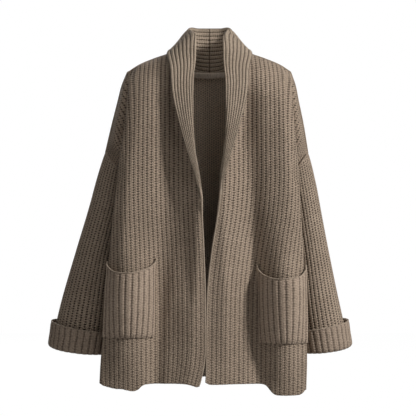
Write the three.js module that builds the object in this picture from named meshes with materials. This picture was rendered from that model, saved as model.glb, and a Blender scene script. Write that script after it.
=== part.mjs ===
// Shawl collar cardigan in a thick ribbed knit, hanging open and filled out as if worn.
// Lengths are millimetres, +Z is up, the front faces -Y, and x grows to the right of the front view.
// The origin lies between the shoulders at the height of the back neck seam.
import * as THREE from 'three';

// cloth: the plain wall, what a rib stands out from it, and the gaps that keep sewn pieces apart
const wall = 3.2;
const ribRise = 1.8;
const seamGap = 0.3;
const armholeGap = 0.8;
const bandGap = 1.4;
// how far the edges at the back neck lean away from level
const neckSlope = 0.7;

// width of a rib, and how many ribs each piece has
const bodyRib = 10.45;
const pocketRibs = 11;
const sleeveRibs = 34;
const collarRibs = 12;
const frontRibs = 34;
const backRibs = 32;
// ribs of a front up to where it turns back round the side
const turnRibs = 23;
// share of its rise that a rib keeps at a sewn edge
const seamRise = 0.3;
const hemLevel = -716;

// shoulders and armholes
const seamY = 10;
const shoulderZ = 7;
const armSeamZ = -183;
const underarmZ = -253;
const armholeDepth = 62;
// half the width of the back neck
const neckOut = 74;

// how far below the shoulder each side takes to reach its full depth, and where that is
const frontRound = 105;
const backRound = 200;
const shoulderTurn = 36;
const edgeY = -119;
const backY = 103;
// what the rounding of the front's side fold takes off its corner
const foldLoss = 4.5;

// The two halves hang a little differently. Each row of a half is one height of the body and says
// how far out these lie: the front opening, the fold where the front turns back, the crease behind
// that fold, the end of the panel (over-arm seam, then side seam) and the corner of the back.
const halves = {
  left: {
    sign: -1,
    ribAtShoulder: 16.9,
    edgeTip: 19.4,
    rows: [
      { z: 7, edge: 19.4, fold: 188, foldY: -45, pinch: 189, pinchY: -20, end: 192, tail: 176, tailY: 56 },
      { z: -25, edge: 19.4, fold: 191.5, foldY: -62, pinch: 188, pinchY: -36, end: 205, tail: 184, tailY: 62 },
      { z: -60, edge: 19.4, fold: 194.8, foldY: -74, pinch: 187, pinchY: -46, end: 214, tail: 191, tailY: 66 },
      { z: -115, edge: 19.4, fold: 201.6, foldY: -84, pinch: 186, pinchY: -50, end: 228, tail: 202, tailY: 68 },
      { z: -183, edge: 19.4, fold: 210, foldY: -88, pinch: 187, pinchY: -52, end: 244, tail: 214, tailY: 70 },
      { z: -253, edge: 19.4, fold: 217.5, foldY: -90, pinch: 185, pinchY: -40, end: 188.5, tail: 188, tailY: 76 },
      { z: -325, edge: 17.9, fold: 224, foldY: -92, pinch: 186, pinchY: -30, end: 178, tail: 184, tailY: 80 },
      { z: -405, edge: 14.2, fold: 230.8, foldY: -94, pinch: 196, pinchY: -28, end: 186, tail: 196, tailY: 82 },
      { z: -495, edge: 11.2, fold: 237.8, foldY: -97, pinch: 207, pinchY: -28, end: 197, tail: 209, tailY: 85 },
      { z: -590, edge: 10.3, fold: 244.3, foldY: -100, pinch: 214, pinchY: -28, end: 205, tail: 217, tailY: 88 },
      { z: -660, edge: 10.3, fold: 250.1, foldY: -101, pinch: 232, pinchY: -32, end: 224, tail: 230, tailY: 88 },
      { z: -704, edge: 13, fold: 252.5, foldY: -101, pinch: 238, pinchY: -32, end: 232, tail: 236, tailY: 87 },
      { z: -728, edge: 27, fold: 253.7, foldY: -100, pinch: 241, pinchY: -32, end: 236, tail: 238, tailY: 86 },
    ],
    // troughs and swells of the front: place, size, how far they stand out and their lean per mm down
    folds: [
      { at: 72, z: -60, wide: 26, tall: 170, out: -15, lean: -0.06 },
      { at: 128, z: -170, wide: 34, tall: 190, out: 7, lean: 0.02 },
      { at: 186, z: -560, wide: 52, tall: 150, out: 20, lean: 0.03 },
      { at: 118, z: -600, wide: 20, tall: 190, out: -9, lean: 0.04 },
      { at: 62, z: -470, wide: 30, tall: 210, out: 7, lean: 0.03 },
      { at: 20, z: -330, wide: 17, tall: 120, out: 6, lean: 0 },
    ],
    hem: { level: -713, drop: 15, to: 152, soft: 9 },
    sleeve: [
      { x: 217, z: -218, tilt: 52.4, half: 44.2, deep: 62 },
      { x: 226, z: -263, tilt: 33, half: 43.5, deep: 62 },
      { x: 235.7, z: -312, tilt: 16, half: 45, deep: 62 },
      { x: 265.5, z: -426, tilt: 15, half: 49, deep: 63 },
      { x: 288, z: -541, tilt: 14, half: 60, deep: 66 },
      { x: 304, z: -638, tilt: 12, half: 66, deep: 68 },
    ],
    pocket: { inner: 124, wrap: 20, innerTop: -432, outerTop: -444, sag: 17, bottom: -609, swell: 12.5, gap: 0.5 },
  },
  right: {
    sign: 1,
    ribAtShoulder: 16.4,
    edgeTip: 25.2,
    rows: [
      { z: 7, edge: 24.6, fold: 186, foldY: -45, pinch: 187, pinchY: -20, end: 190, tail: 174, tailY: 56 },
      { z: -25, edge: 24.8, fold: 191, foldY: -62, pinch: 186, pinchY: -36, end: 201, tail: 181, tailY: 62 },
      { z: -60, edge: 25, fold: 195, foldY: -74, pinch: 184, pinchY: -46, end: 208, tail: 186, tailY: 66 },
      { z: -115, edge: 25.2, fold: 199, foldY: -84, pinch: 181, pinchY: -50, end: 219.5, tail: 194, tailY: 68 },
      { z: -183, edge: 25.2, fold: 204, foldY: -88, pinch: 179, pinchY: -52, end: 230.6, tail: 201, tailY: 70 },
      { z: -253, edge: 25.2, fold: 209.3, foldY: -90, pinch: 174, pinchY: -40, end: 178.5, tail: 178, tailY: 76 },
      { z: -325, edge: 19.8, fold: 212.7, foldY: -92, pinch: 174, pinchY: -30, end: 166, tail: 173, tailY: 80 },
      { z: -405, edge: 7.2, fold: 217.6, foldY: -94, pinch: 181, pinchY: -28, end: 171, tail: 181, tailY: 82 },
      { z: -495, edge: -3, fold: 220.6, foldY: -97, pinch: 188, pinchY: -28, end: 178, tail: 190, tailY: 85 },
      { z: -590, edge: -5.7, fold: 223.8, foldY: -100, pinch: 188, pinchY: -28, end: 180, tail: 192, tailY: 88 },
      { z: -660, edge: -6.3, fold: 225.1, foldY: -101, pinch: 199, pinchY: -32, end: 191, tail: 200, tailY: 88 },
      { z: -728, edge: -6.9, fold: 221.8, foldY: -100, pinch: 212, pinchY: -32, end: 207, tail: 210, tailY: 86 },
    ],
    folds: [
      { at: 72, z: -60, wide: 26, tall: 170, out: -15, lean: -0.06 },
      { at: 128, z: -190, wide: 34, tall: 190, out: 6, lean: 0 },
      { at: 172, z: -580, wide: 44, tall: 160, out: 22, lean: 0.02 },
      { at: 112, z: -560, wide: 20, tall: 210, out: -15, lean: 0.05 },
      { at: 52, z: -420, wide: 32, tall: 190, out: 9, lean: -0.03 },
    ],
    hem: { level: -712, drop: 28, to: 139, soft: 8 },
    sleeve: [
      { x: 205.3, z: -218, tilt: 54.1, half: 43.2, deep: 62 },
      { x: 211.5, z: -262, tilt: 32, half: 40.5, deep: 62 },
      { x: 218.7, z: -309, tilt: 13, half: 40, deep: 62 },
      { x: 236, z: -423, tilt: 12.5, half: 44, deep: 63 },
      { x: 251.7, z: -537, tilt: 12.5, half: 52, deep: 66 },
      { x: 268, z: -636, tilt: 12, half: 58, deep: 68 },
    ],
    pocket: { inner: 112, wrap: 20, innerTop: -450, outerTop: -452, sag: 22, bottom: -622, swell: 13, gap: 1.2 },
  },
};

// top line of a front: the neckline from the front opening up, then the shoulder
const neckline = [
  { out: 19, z: -292 },
  { out: 24, z: -252 },
  { out: 31, z: -214 },
  { out: 38, z: -180 },
  { out: 47, z: -135 },
  { out: 53, z: -95 },
  { out: 58, z: -50 },
  { out: 63, z: -8 },
  { out: 68, z: 28 },
  { out: 74, z: 56.5 },
];
const shoulderLine = [
  { out: 0, z: 70 },
  { out: 74, z: 57 },
  { out: 97, z: 49 },
  { out: 132, z: 37 },
  { out: 165, z: 23 },
  { out: 190, z: 7 },
];
const backNeck = [
  { out: 0, z: 5 },
  { out: 30, z: 9 },
  { out: 55, z: 24 },
  { out: 74, z: 57 },
];

// the collar from the centre back to its tip: sewn edge, roll and free edge
const collarRows = [
  { s: [0, 76.6, 4.4], r: [0, 83, 62], f: [0, 90, 117] },
  { s: [28, 72.2, 8.6], r: [27, 80, 64], f: [26, 88, 117] },
  { s: [48, 62, 23.6], r: [44.5, 66, 78], f: [49, 74, 116] },
  { s: [62, 36, 46.5], r: [48, 38, 106], f: [72, 45, 84] },
  { s: [70, 5, 59], r: [41, 4, 105], f: [95, 12, 57] },
  { s: [69, -14, 53.5], r: [35, -24, 94], f: [100, -14, 52] },
  { s: [67, -38, 45], r: [33.5, -52, 66], f: [98, -47, 38] },
  { s: [63, -60, 29.5], r: [34, -76, 28], f: [91, -82, 10] },
  { s: [58.7, -88, -10], r: [38, -104, -18], f: [87.5, -109, -37] },
  { s: [54, -100, -52], r: [39.5, -119, -62], f: [81, -115, -75] },
  { s: [48.6, -105.5, -97], r: [40, -126, -108], f: [71, -122, -113] },
  { s: [42.5, -109.5, -137], r: [38, -129, -148], f: [60, -128, -153] },
  { s: [33.5, -113.8, -182], r: [33.2, -130.5, -194], f: [46.5, -130.5, -197] },
  { s: [23.3, -120.4, -230], r: [25.4, -131, -240], f: [33, -131, -241] },
  { s: [15.2, -125, -286], r: [17, -133, -288], f: [21.5, -133.5, -288] },
];

// rows of the panels, as shares of the drop: even steps round the armhole, then down to the hem
const armholeShare = (armSeamZ - underarmZ) / (armSeamZ - hemLevel);
const armholeSteps = 6;
const armholeRows = Array.from({ length: armholeSteps + 1 }, (_, k) => {
  return (armholeShare * (1 - Math.cos((Math.PI * k) / armholeSteps))) / 2;
});
const rowsDown = [...armholeRows, 0.21, 0.33, 0.47, 0.62, 0.8, 1];

const mix = (a, b, t) => a + (b - a) * t;
const clamp = (v, low, high) => Math.min(high, Math.max(low, v));
const smooth = (t) => {
  const c = clamp(t, 0, 1);
  return c * c * (3 - 2 * c);
};

// a smooth curve through one column of a table whose key column rises or falls steadily
function read(table, key, at, column) {
  const up = table[table.length - 1][key] > table[0][key] ? 1 : -1;
  const last = table.length - 1;
  let k = 0;
  while (k < last - 1 && up * (at - table[k + 1][key]) > 0) k += 1;
  const a = table[k];
  const b = table[k + 1];
  const span = b[key] - a[key];
  const t = clamp((at - a[key]) / span, 0, 1);
  const slope = (m) => {
    const p = table[Math.max(m - 1, 0)];
    const q = table[Math.min(m + 1, last)];
    return (q[column] - p[column]) / (q[key] - p[key]);
  };
  const h = t * t * (3 - 2 * t);
  const bendA = t * (1 - t) * (1 - t) * slope(k) * span;
  const bendB = -t * t * (1 - t) * slope(k + 1) * span;
  return mix(a[column], b[column], h) + bendA + bendB;
}

// a smooth curve through vectors that are evenly spaced in t
function glide(points, t) {
  const last = points.length - 1;
  const place = clamp(t, 0, 1) * last;
  const k = Math.min(Math.floor(place), last - 1);
  const f = place - k;
  const p0 = points[Math.max(k - 1, 0)];
  const p1 = points[k];
  const p2 = points[k + 1];
  const p3 = points[Math.min(k + 2, last)];
  return p1.map((v, i) => {
    const a = (p2[i] - p0[i]) / 2;
    const b = (p3[i] - v) / 2;
    const h = f * f * (3 - 2 * f);
    return mix(v, p2[i], h) + f * (1 - f) * (1 - f) * a - f * f * (1 - f) * b;
  });
}

// a bent line with its corners rounded, as closely spaced points with the length so far
function roundedLine(corners, cuts) {
  const out = [[corners[0][0], corners[0][1], 0]];
  const add = (x, y) => {
    const p = out[out.length - 1];
    out.push([x, y, p[2] + Math.hypot(x - p[0], y - p[1])]);
  };
  const between = (a, b, reach) => {
    const far = Math.hypot(b[0] - a[0], b[1] - a[1]);
    const t = Math.min(reach / Math.max(far, 1e-6), 0.49);
    return [mix(a[0], b[0], t), mix(a[1], b[1], t)];
  };
  for (let i = 1; i < corners.length - 1; i += 1) {
    const c = corners[i];
    const a = between(c, corners[i - 1], cuts[i]);
    const b = between(c, corners[i + 1], cuts[i]);
    for (let s = 0; s <= 8; s += 1) {
      const t = s / 8;
      const w = [(1 - t) * (1 - t), 2 * t * (1 - t), t * t];
      add(w[0] * a[0] + w[1] * c[0] + w[2] * b[0], w[0] * a[1] + w[1] * c[1] + w[2] * b[1]);
    }
  }
  const end = corners[corners.length - 1];
  add(end[0], end[1]);
  return out;
}

function alongLine(line, length) {
  const total = line[line.length - 1][2];
  const d = clamp(length, 0, total);
  let k = 0;
  while (k < line.length - 2 && line[k + 1][2] < d) k += 1;
  const a = line[k];
  const b = line[k + 1];
  const t = (d - a[2]) / Math.max(b[2] - a[2], 1e-9);
  return [mix(a[0], b[0], t), mix(a[1], b[1], t)];
}

// where a panel ends at a height: over-arm seam, armhole, then side seam
function panelEnd(half, z, face) {
  const low = half.rows.find((row) => row.z === underarmZ).end;
  const high = half.rows.find((row) => row.z === armSeamZ).end;
  if (z > armSeamZ) return [read(half.rows.slice(0, 5), 'z', z, 'end'), seamY];
  if (z > underarmZ) {
    const c = clamp((z - (armSeamZ + underarmZ) / 2) / ((armSeamZ - underarmZ) / 2), -1, 1);
    return [mix(low, high, (c + 1) / 2), seamY + face * armholeDepth * Math.sqrt(1 - c * c)];
  }
  return [read(half.rows.slice(5), 'z', z, 'end'), seamY];
}

function outline(half, z, face) {
  const r = (column) => read(half.rows, 'z', z, column);
  const end = panelEnd(half, z, face);
  if (face > 0) {
    const tail = [r('tail'), r('tailY')];
    const lift = z > underarmZ ? 0.3 : 0.1;
    const flank = [mix(tail[0], end[0], 0.72), mix(tail[1], end[1], lift)];
    const corners = [[0, backY], [tail[0] * 0.6, backY - 3], tail, flank, end];
    return { line: roundedLine(corners, [0, 50, 30, 12, 0]), turn: tail[0] * 0.9 };
  }
  const edge = [r('edge'), edgeY];
  const fold = [r('fold') + foldLoss, r('foldY')];
  const pinch = [r('pinch'), r('pinchY')];
  const arm = [mix(pinch[0], end[0], 0.72), mix(pinch[1], end[1], 0.18)];
  const middle = [mix(edge[0], fold[0], 0.5), mix(edge[1], fold[1], 0.5) - 9];
  const corners = [edge, middle, fold, pinch, arm, end];
  return { line: roundedLine(corners, [0, 60, 24, 14, 12, 0]), turn: fold[0] - edge[0] - 24 };
}

// rib count reached where the panel ends
function ribsAtEnd(half, z, face) {
  const all = face > 0 ? backRibs : frontRibs;
  const first = ribsAtShoulder(half, face);
  return z > armSeamZ ? mix(first, all, (shoulderZ - z) / (shoulderZ - armSeamZ)) : all;
}

const ribsAtShoulder = (half, face) => (face > 0 ? 17.6 : half.ribAtShoulder);

// height of the top of a rib, and of the ridge that it would reach without a neckline
function ribTop(half, ribs, face) {
  const first = ribsAtShoulder(half, face);
  if (ribs > first) {
    const all = face > 0 ? backRibs : frontRibs;
    const z = mix(shoulderZ, armSeamZ, (ribs - first) / (all - first));
    return { top: z, ridge: z };
  }
  const start = face > 0 ? 0 : half.edgeTip;
  const out = mix(start, half.rows[0].end, ribs / first);
  const ridge = read(shoulderLine, 'out', out, 'z');
  const neck = face > 0 ? backNeck : neckline;
  return { top: out < neckOut ? read(neck, 'out', out, 'z') : ridge, ridge, out };
}

// the hem hangs lower under a pocket and levels out towards the side seam
function hemHeight(half, ribs, out) {
  const { level, drop, to, soft } = half.hem;
  const side = smooth((ribs - turnRibs - 2) / (frontRibs - turnRibs - 2));
  const under = smooth((out - to) / (soft * 2) + 0.5) * (1 - side);
  return mix(level, hemLevel, side) - drop * under;
}

function relief(half, out, z) {
  return half.folds.reduce((sum, fold) => {
    const across = (out - fold.at - (fold.z - z) * fold.lean) / fold.wide;
    const down = (z - fold.z) / fold.tall;
    return sum + fold.out * Math.exp(-across * across - down * down * down * down);
  }, 0);
}

// a point of the cloth of one half: ribs counted from the front opening or the centre back
function clothPoint(half, ribs, z, face) {
  const { line, turn } = outline(half, z, face);
  const total = line[line.length - 1][2];
  const last = ribsAtEnd(half, z, face);
  const level = Math.min(turn / bodyRib, last - 0.4);
  const reach = level * bodyRib;
  const inner = ribs * bodyRib;
  const outer = reach + ((ribs - level) / Math.max(last - level, 0.01)) * (total - reach);
  const [lineOut, y] = alongLine(line, ribs < level ? inner : outer);
  const { ridge, out: topOut = lineOut } = ribTop(half, ribs, face);
  const round = face > 0 ? backRound : frontRound;
  const depth = clamp((ridge - z) / round, 0, 1);
  const out = mix(topOut, lineOut, smooth((ridge - z) / shoulderTurn));
  const swell = Math.sqrt(1 - (1 - depth) * (1 - depth));
  const push = face < 0 ? relief(half, out, z) * smooth((half.rows[0].end + 40 - out) / 60) : 0;
  const deep = seamY + (y - seamY) * swell - push * swell;
  return [half.sign * out, deep + (face * seamGap) / 2, z];
}

function ribHem(half, ribs, face) {
  if (face > 0) return hemLevel;
  const out = Math.abs(clothPoint(half, ribs, -700, face)[0]);
  return hemHeight(half, ribs, out);
}

// makes one closed wall from a skin function: ribbed outside, plain inside with fewer columns
function clothWall(name, colour, plan) {
  const { columns, down, skin, rise, ring = false, thick = wall, sense = 1 } = plan;
  const inside = plan.inside || range(0, columns, 2);
  const rows = down.length - 1;
  const positions = [];
  const triangles = [];
  const push = (p, n, far) => {
    const q = [p[0] + n.x * far, p[1] + n.y * far, p[2] + n.z * far];
    positions.push(...(plan.keep ? plan.keep(q) : q));
    return positions.length / 3 - 1;
  };
  const step = 0.02;
  const normalAt = (c, v) => {
    const c0 = ring ? c - step : Math.max(c - step, 0);
    const c1 = ring ? c + step : Math.min(c + step, columns);
    const v0 = Math.max(v - step / 8, 0);
    const v1 = Math.min(v + step / 8, 1);
    const a = new THREE.Vector3(...skin(c1, v)).sub(new THREE.Vector3(...skin(c0, v)));
    const b = new THREE.Vector3(...skin(c, v1)).sub(new THREE.Vector3(...skin(c, v0)));
    const n = a.cross(b).multiplyScalar(sense).normalize();
    return plan.fix ? plan.fix(c, v, n) : n;
  };
  const outer = [];
  const inner = [];
  const around = ring ? columns - 1 : columns;
  for (let k = 0; k <= rows; k += 1) {
    outer.push([]);
    inner.push([]);
    for (let c = 0; c <= around; c += 1) {
      const p = skin(c, down[k]);
      const n = normalAt(c, down[k]);
      outer[k].push(push(p, n, rise(c, down[k])));
      if (inside.includes(c)) inner[k].push(push(p, n, -thick));
    }
    if (ring) {
      outer[k].push(outer[k][0]);
      inner[k].push(inner[k][0]);
    }
  }
  const face = (a, b, c) => (sense > 0 ? triangles.push(a, b, c) : triangles.push(a, c, b));
  const quad = (a, b, c, d) => {
    face(a, b, c);
    face(a, c, d);
  };
  for (let k = 0; k < rows; k += 1) {
    for (let c = 0; c < columns; c += 1) quad(outer[k][c], outer[k][c + 1], outer[k + 1][c + 1], outer[k + 1][c]);
    for (let m = 0; m < inner[k].length - 1; m += 1) {
      quad(inner[k][m], inner[k + 1][m], inner[k + 1][m + 1], inner[k][m + 1]);
    }
  }
  const rim = (k, turned) => {
    const lay = (a, b, c) => (turned ? face(a, c, b) : face(a, b, c));
    const marks = ring ? [...inside, columns] : inside;
    for (let m = 0; m < marks.length - 1; m += 1) {
      const middle = Math.floor((marks[m] + marks[m + 1]) / 2);
      for (let c = marks[m]; c < middle; c += 1) lay(outer[k][c], inner[k][m], outer[k][c + 1]);
      lay(outer[k][middle], inner[k][m], inner[k][m + 1]);
      for (let c = middle; c < marks[m + 1]; c += 1) lay(outer[k][c], inner[k][m + 1], outer[k][c + 1]);
    }
  };
  rim(0, false);
  rim(rows, true);
  if (!ring) {
    const far = inner[0].length - 1;
    for (let k = 0; k < rows; k += 1) {
      quad(outer[k][0], outer[k + 1][0], inner[k + 1][0], inner[k][0]);
      quad(outer[k][columns], inner[k][far], inner[k + 1][far], outer[k + 1][columns]);
    }
  }
  const geometry = new THREE.BufferGeometry();
  geometry.setAttribute('position', new THREE.Float32BufferAttribute(positions, 3));
  geometry.setIndex(triangles);
  geometry.computeVertexNormals();
  const mesh = new THREE.Mesh(geometry, knitMaterial(colour));
  mesh.name = name;
  return mesh;
}

function range(from, to, by) {
  const list = [];
  for (let i = from; i < to; i += by) list.push(i);
  list.push(to);
  return list;
}

const knitMaterial = (colour) => new THREE.MeshStandardMaterial({ color: colour, roughness: 0.95, metalness: 0 });

const brown = 0x85766a;
const zigzag = (column) => (column % 2 === 1 ? ribRise : 0);

// share of its rise that a rib has at some columns from a seam
const edgeRise = (columnsAway) => mix(seamRise, 1, smooth(columnsAway / 8));

function flatten(n) {
  n.y = 0;
  return n.normalize();
}

// normals at a sewn edge lie in the seam's own plane, so both edges stay apart
function seamNormal(half, z, n) {
  if (z <= armSeamZ && z > underarmZ + 1) {
    const tilt = THREE.MathUtils.degToRad(half.sleeve[0].tilt);
    const axis = new THREE.Vector3(half.sign * Math.sin(tilt), 0, -Math.cos(tilt));
    return n.addScaledVector(axis, -n.dot(axis)).normalize();
  }
  return flatten(n);
}

// a front and the back each keep to their own side of the seam between them
const ownSide = (face) => (p) => {
  const limit = seamY + (face * seamGap) / 2;
  return [p[0], face < 0 ? Math.min(p[1], limit) : Math.max(p[1], limit), p[2]];
};

function frontPanel(half, name) {
  const columns = frontRibs * 2;
  const place = (c, v) => {
    const ribs = c / 2;
    return { ribs, z: mix(ribTop(half, ribs, -1).top, ribHem(half, ribs, -1), v) };
  };
  const skin = (c, v) => {
    const { ribs, z } = place(c, v);
    return clothPoint(half, ribs, z, -1);
  };
  const rise = (c, v) => zigzag(c) * edgeRise(columns - c) * (v === 0 ? seamRise : 1);
  const fix = (c, v, n) => {
    if (c === columns) return seamNormal(half, place(c, v).z, n);
    return v === 0 && Math.abs(skin(c, 0)[0]) >= neckOut - 1 ? flatten(n) : n;
  };
  const inside = [...range(0, 28, 4), ...range(30, columns, 2)];
  const keep = ownSide(-1);
  return clothWall(name, brown, { columns, down: rowsDown, skin, rise, fix, keep, inside, sense: -half.sign });
}

function backPanel() {
  const columns = backRibs * 4;
  const place = (c, v) => {
    const ribs = Math.abs(c / 2 - backRibs);
    const half = c / 2 < backRibs ? halves.left : halves.right;
    return { half, ribs, z: mix(ribTop(half, ribs, 1).top, ribHem(half, ribs, 1), v) };
  };
  const skin = (c, v) => {
    const { half, ribs, z } = place(c, v);
    return clothPoint(half, ribs, z, 1);
  };
  const rise = (c, v) => zigzag(c) * edgeRise(Math.min(c, columns - c)) * (v === 0 ? seamRise : 1);
  const fix = (c, v, n) => {
    const { half, z } = place(c, v);
    if (c === 0 || c === columns) return seamNormal(half, z, n);
    return v === 0 && Math.abs(skin(c, 0)[0]) >= neckOut - 1 ? flatten(n) : n;
  };
  const inside = [...range(0, 32, 4), ...range(36, columns - 36, 4), ...range(columns - 32, columns, 4)];
  return clothWall('back', brown, { columns, down: rowsDown, skin, rise, fix, keep: ownSide(1), inside });
}

// the sleeve's skin: turn goes once round from the outer side by the front, v from armhole to end
function sleevePoint(half, turn, v) {
  const rings = half.sleeve.map((ring) => [ring.x, ring.z, ring.tilt, ring.half, ring.deep]);
  const [x, z, tilt, wide, deep] = glide(rings, v);
  const a = turn * Math.PI * 2;
  const slope = THREE.MathUtils.degToRad(tilt);
  const across = wide * Math.cos(a);
  const out = x + across * Math.cos(slope) + armholeGap * Math.sin(slope);
  const up = z + across * Math.sin(slope) - armholeGap * Math.cos(slope);
  return [half.sign * out, seamY - deep * Math.sin(a), up];
}

function sleeve(half, name) {
  const columns = sleeveRibs * 2;
  const skin = (c, v) => sleevePoint(half, c / columns, v);
  const rise = (c, v) => zigzag(c) * smooth(v / 0.14) * (1 - smooth((v - 0.86) / 0.1));
  const down = [0, 0.1, 0.2, 0.4, 0.6, 0.8, 1];
  const inside = range(0, columns - 4, 4);
  const fix = (c, v, n) => {
    if (v > 0) return n;
    const a = (c / columns) * Math.PI * 2;
    const ring = half.sleeve[0];
    const tilt = THREE.MathUtils.degToRad(ring.tilt);
    const along = Math.cos(a) / ring.half;
    return n.set(half.sign * along * Math.cos(tilt), -Math.sin(a) / ring.deep, along * Math.sin(tilt)).normalize();
  };
  return clothWall(name, brown, { columns, down, skin, rise, fix, inside, ring: true, sense: half.sign });
}

// the turned-up cuff: out from the sleeve and up from its end, following the fold and the band
const cuffProfile = [
  [-3, -3.8],
  [3, -5.2],
  [8, 0],
  [9.2, 14],
  [9.8, 34],
  [12, 56],
];

function cuffPoint(half, turn, v) {
  const [out, up] = glide(cuffProfile, v);
  const sleeveLength = 440;
  const at = 1 - Math.max(up, 0) / sleeveLength;
  const p = sleevePoint(half, turn, at);
  const a = turn * Math.PI * 2;
  const [, , tilt] = glide(half.sleeve.map((ring) => [ring.x, ring.z, ring.tilt]), at);
  const slope = THREE.MathUtils.degToRad(tilt);
  const x = Math.cos(a) * out;
  const below = Math.min(up, 0);
  return [
    p[0] + half.sign * (x * Math.cos(slope) - below * Math.sin(slope)),
    p[1] - Math.sin(a) * out,
    p[2] + x * Math.sin(slope) + below * Math.cos(slope),
  ];
}

function cuff(half, name) {
  const columns = sleeveRibs * 2;
  const skin = (c, v) => cuffPoint(half, c / columns, v);
  const rise = (c, v) => zigzag(c) * smooth(v / 0.3) * 0.8;
  const down = [0, 0.2, 0.42, 0.62, 1];
  const inside = range(0, columns - 4, 4);
  return clothWall(name, brown, { columns, down, skin, rise, inside, ring: true, thick: 2.8, sense: -half.sign });
}

// which way the cloth faces at a point
function clothNormal(half, ribs, z, face) {
  const base = new THREE.Vector3(...clothPoint(half, ribs, z, face));
  const across = new THREE.Vector3(...clothPoint(half, ribs + 0.3, z, face)).sub(base);
  const below = new THREE.Vector3(...clothPoint(half, ribs, z - 2, face)).sub(base);
  return across.cross(below).multiplyScalar(half.sign * face).normalize();
}

// rib count at a length of cloth past the start of the front's turned edge
function ribsPastTurn(half, z, length) {
  const { line, turn } = outline(half, z, -1);
  const last = ribsAtEnd(half, z, -1);
  const level = turn / bodyRib;
  return level + (length / (line[line.length - 1][2] - turn)) * (last - level);
}

// ribs counted from the front opening for a distance out, at a height of the front
function ribsAtOut(half, out, z) {
  let low = 0;
  let high = frontRibs;
  for (let i = 0; i < 24; i += 1) {
    const middle = (low + high) / 2;
    const probe = clothPoint(half, middle, z, -1);
    if (half.sign * probe[0] < out && probe[1] < -60) low = middle;
    else high = middle;
  }
  return (low + high) / 2;
}

function pocket(half, name) {
  const { inner, wrap, innerTop, outerTop, sag, bottom, swell, gap } = half.pocket;
  const columns = pocketRibs * 2;
  const clear = ribRise + gap + wall;
  const skin = (c, v) => {
    const u = c / columns;
    const top = mix(innerTop, outerTop, u) - sag * Math.pow(Math.sin(Math.PI * u), 0.8);
    const z = mix(top, bottom, v);
    const ribs = mix(ribsAtOut(half, inner, z), ribsPastTurn(half, z, wrap), u);
    const p = clothPoint(half, ribs, z, -1);
    const n = clothNormal(half, ribs, z, -1);
    const puff = Math.sin(Math.PI * u) * (1 - Math.pow(v, 3)) * swell;
    const far = clear + puff;
    return [p[0] + n.x * far, p[1] + n.y * far, p[2] + n.z * far];
  };
  const rise = (c) => zigzag(c) * (c < 2 || c > columns - 2 ? 0.6 : 1);
  const down = [0, 0.12, 0.35, 0.6, 0.82, 1];
  const inside = [...range(0, 14, 2), ...range(15, columns, 1)];
  return clothWall(name, brown, { columns, down, skin, rise, inside, sense: -half.sign });
}

// half of the collar: v runs from the centre back to the tip, columns from sewn to free edge
function collarPoint(half, b, v) {
  const rows = collarRows.map((row) => [...row.s, ...row.r, ...row.f]);
  const p = glide(rows, v);
  const tip = half.edgeTip - 19.4;
  const weights = [2 * (b - 0.5) * (b - 1), -4 * b * (b - 1), 2 * b * (b - 0.5)];
  const at = (i) => weights[0] * p[i] + weights[1] * p[i + 3] + weights[2] * p[i + 6];
  const out = at(0) + tip * smooth((v - 0.9) / 0.1);
  return [half.sign * (out + seamGap / 2), at(1), at(2)];
}

function collar(half, name) {
  const columns = collarRibs * 2;
  const skin = (c, v) => collarPoint(half, c / columns, v);
  const rise = (c, v) => zigzag(c) * (1 - 0.8 * smooth((v - 0.7) / 0.3)) * (c < 3 ? 0.3 : 0.8);
  const count = collarRows.length - 1;
  const down = Array.from({ length: count + 1 }, (_, i) => i / count);
  const fix = (c, v, n) => {
    if (v === 0) n.x = 0;
    if (c === 0) n.z -= neckSlope * (1 - smooth((v - 0.12) / 0.12));
    return n.normalize();
  };
  return clothWall(name, brown, { columns, down, skin, rise, fix, inside: range(0, columns, 2), sense: -half.sign });
}

// the narrow band over the neck seam inside the back
function neckBand() {
  const columns = 16;
  const reach = 45;
  const tall = 12;
  const above = 4;
  const thick = 1.6;
  const skin = (c, v) => {
    const x = mix(-reach, reach, c / columns);
    const half = x < 0 ? halves.left : halves.right;
    const out = Math.abs(x);
    const z = read(backNeck, 'out', out, 'z') + above - v * tall;
    const ribs = (out * ribsAtShoulder(half, 1)) / half.rows[0].end;
    const p = clothPoint(half, ribs, z, 1);
    const n = clothNormal(half, ribs, z, 1);
    const far = wall + bandGap + thick;
    return [x - n.x * far, p[1] - n.y * far, z - n.z * far];
  };
  const rise = () => 0;
  const down = [0, 0.5, 1];
  return clothWall('neck_band', 0x8d7e70, { columns, down, skin, rise, thick, inside: range(0, columns, 2), sense: -1 });
}

const group = new THREE.Group();
group.name = 'shawl_collar_cardigan';
group.add(backPanel());
for (const [side, half] of Object.entries(halves)) {
  group.add(frontPanel(half, `front_${side}`));
  group.add(sleeve(half, `sleeve_${side}`));
  group.add(cuff(half, `cuff_${side}`));
  group.add(pocket(half, `pocket_${side}`));
  group.add(collar(half, `collar_${side}`));
}
group.add(neckBand());

export default group;
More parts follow.
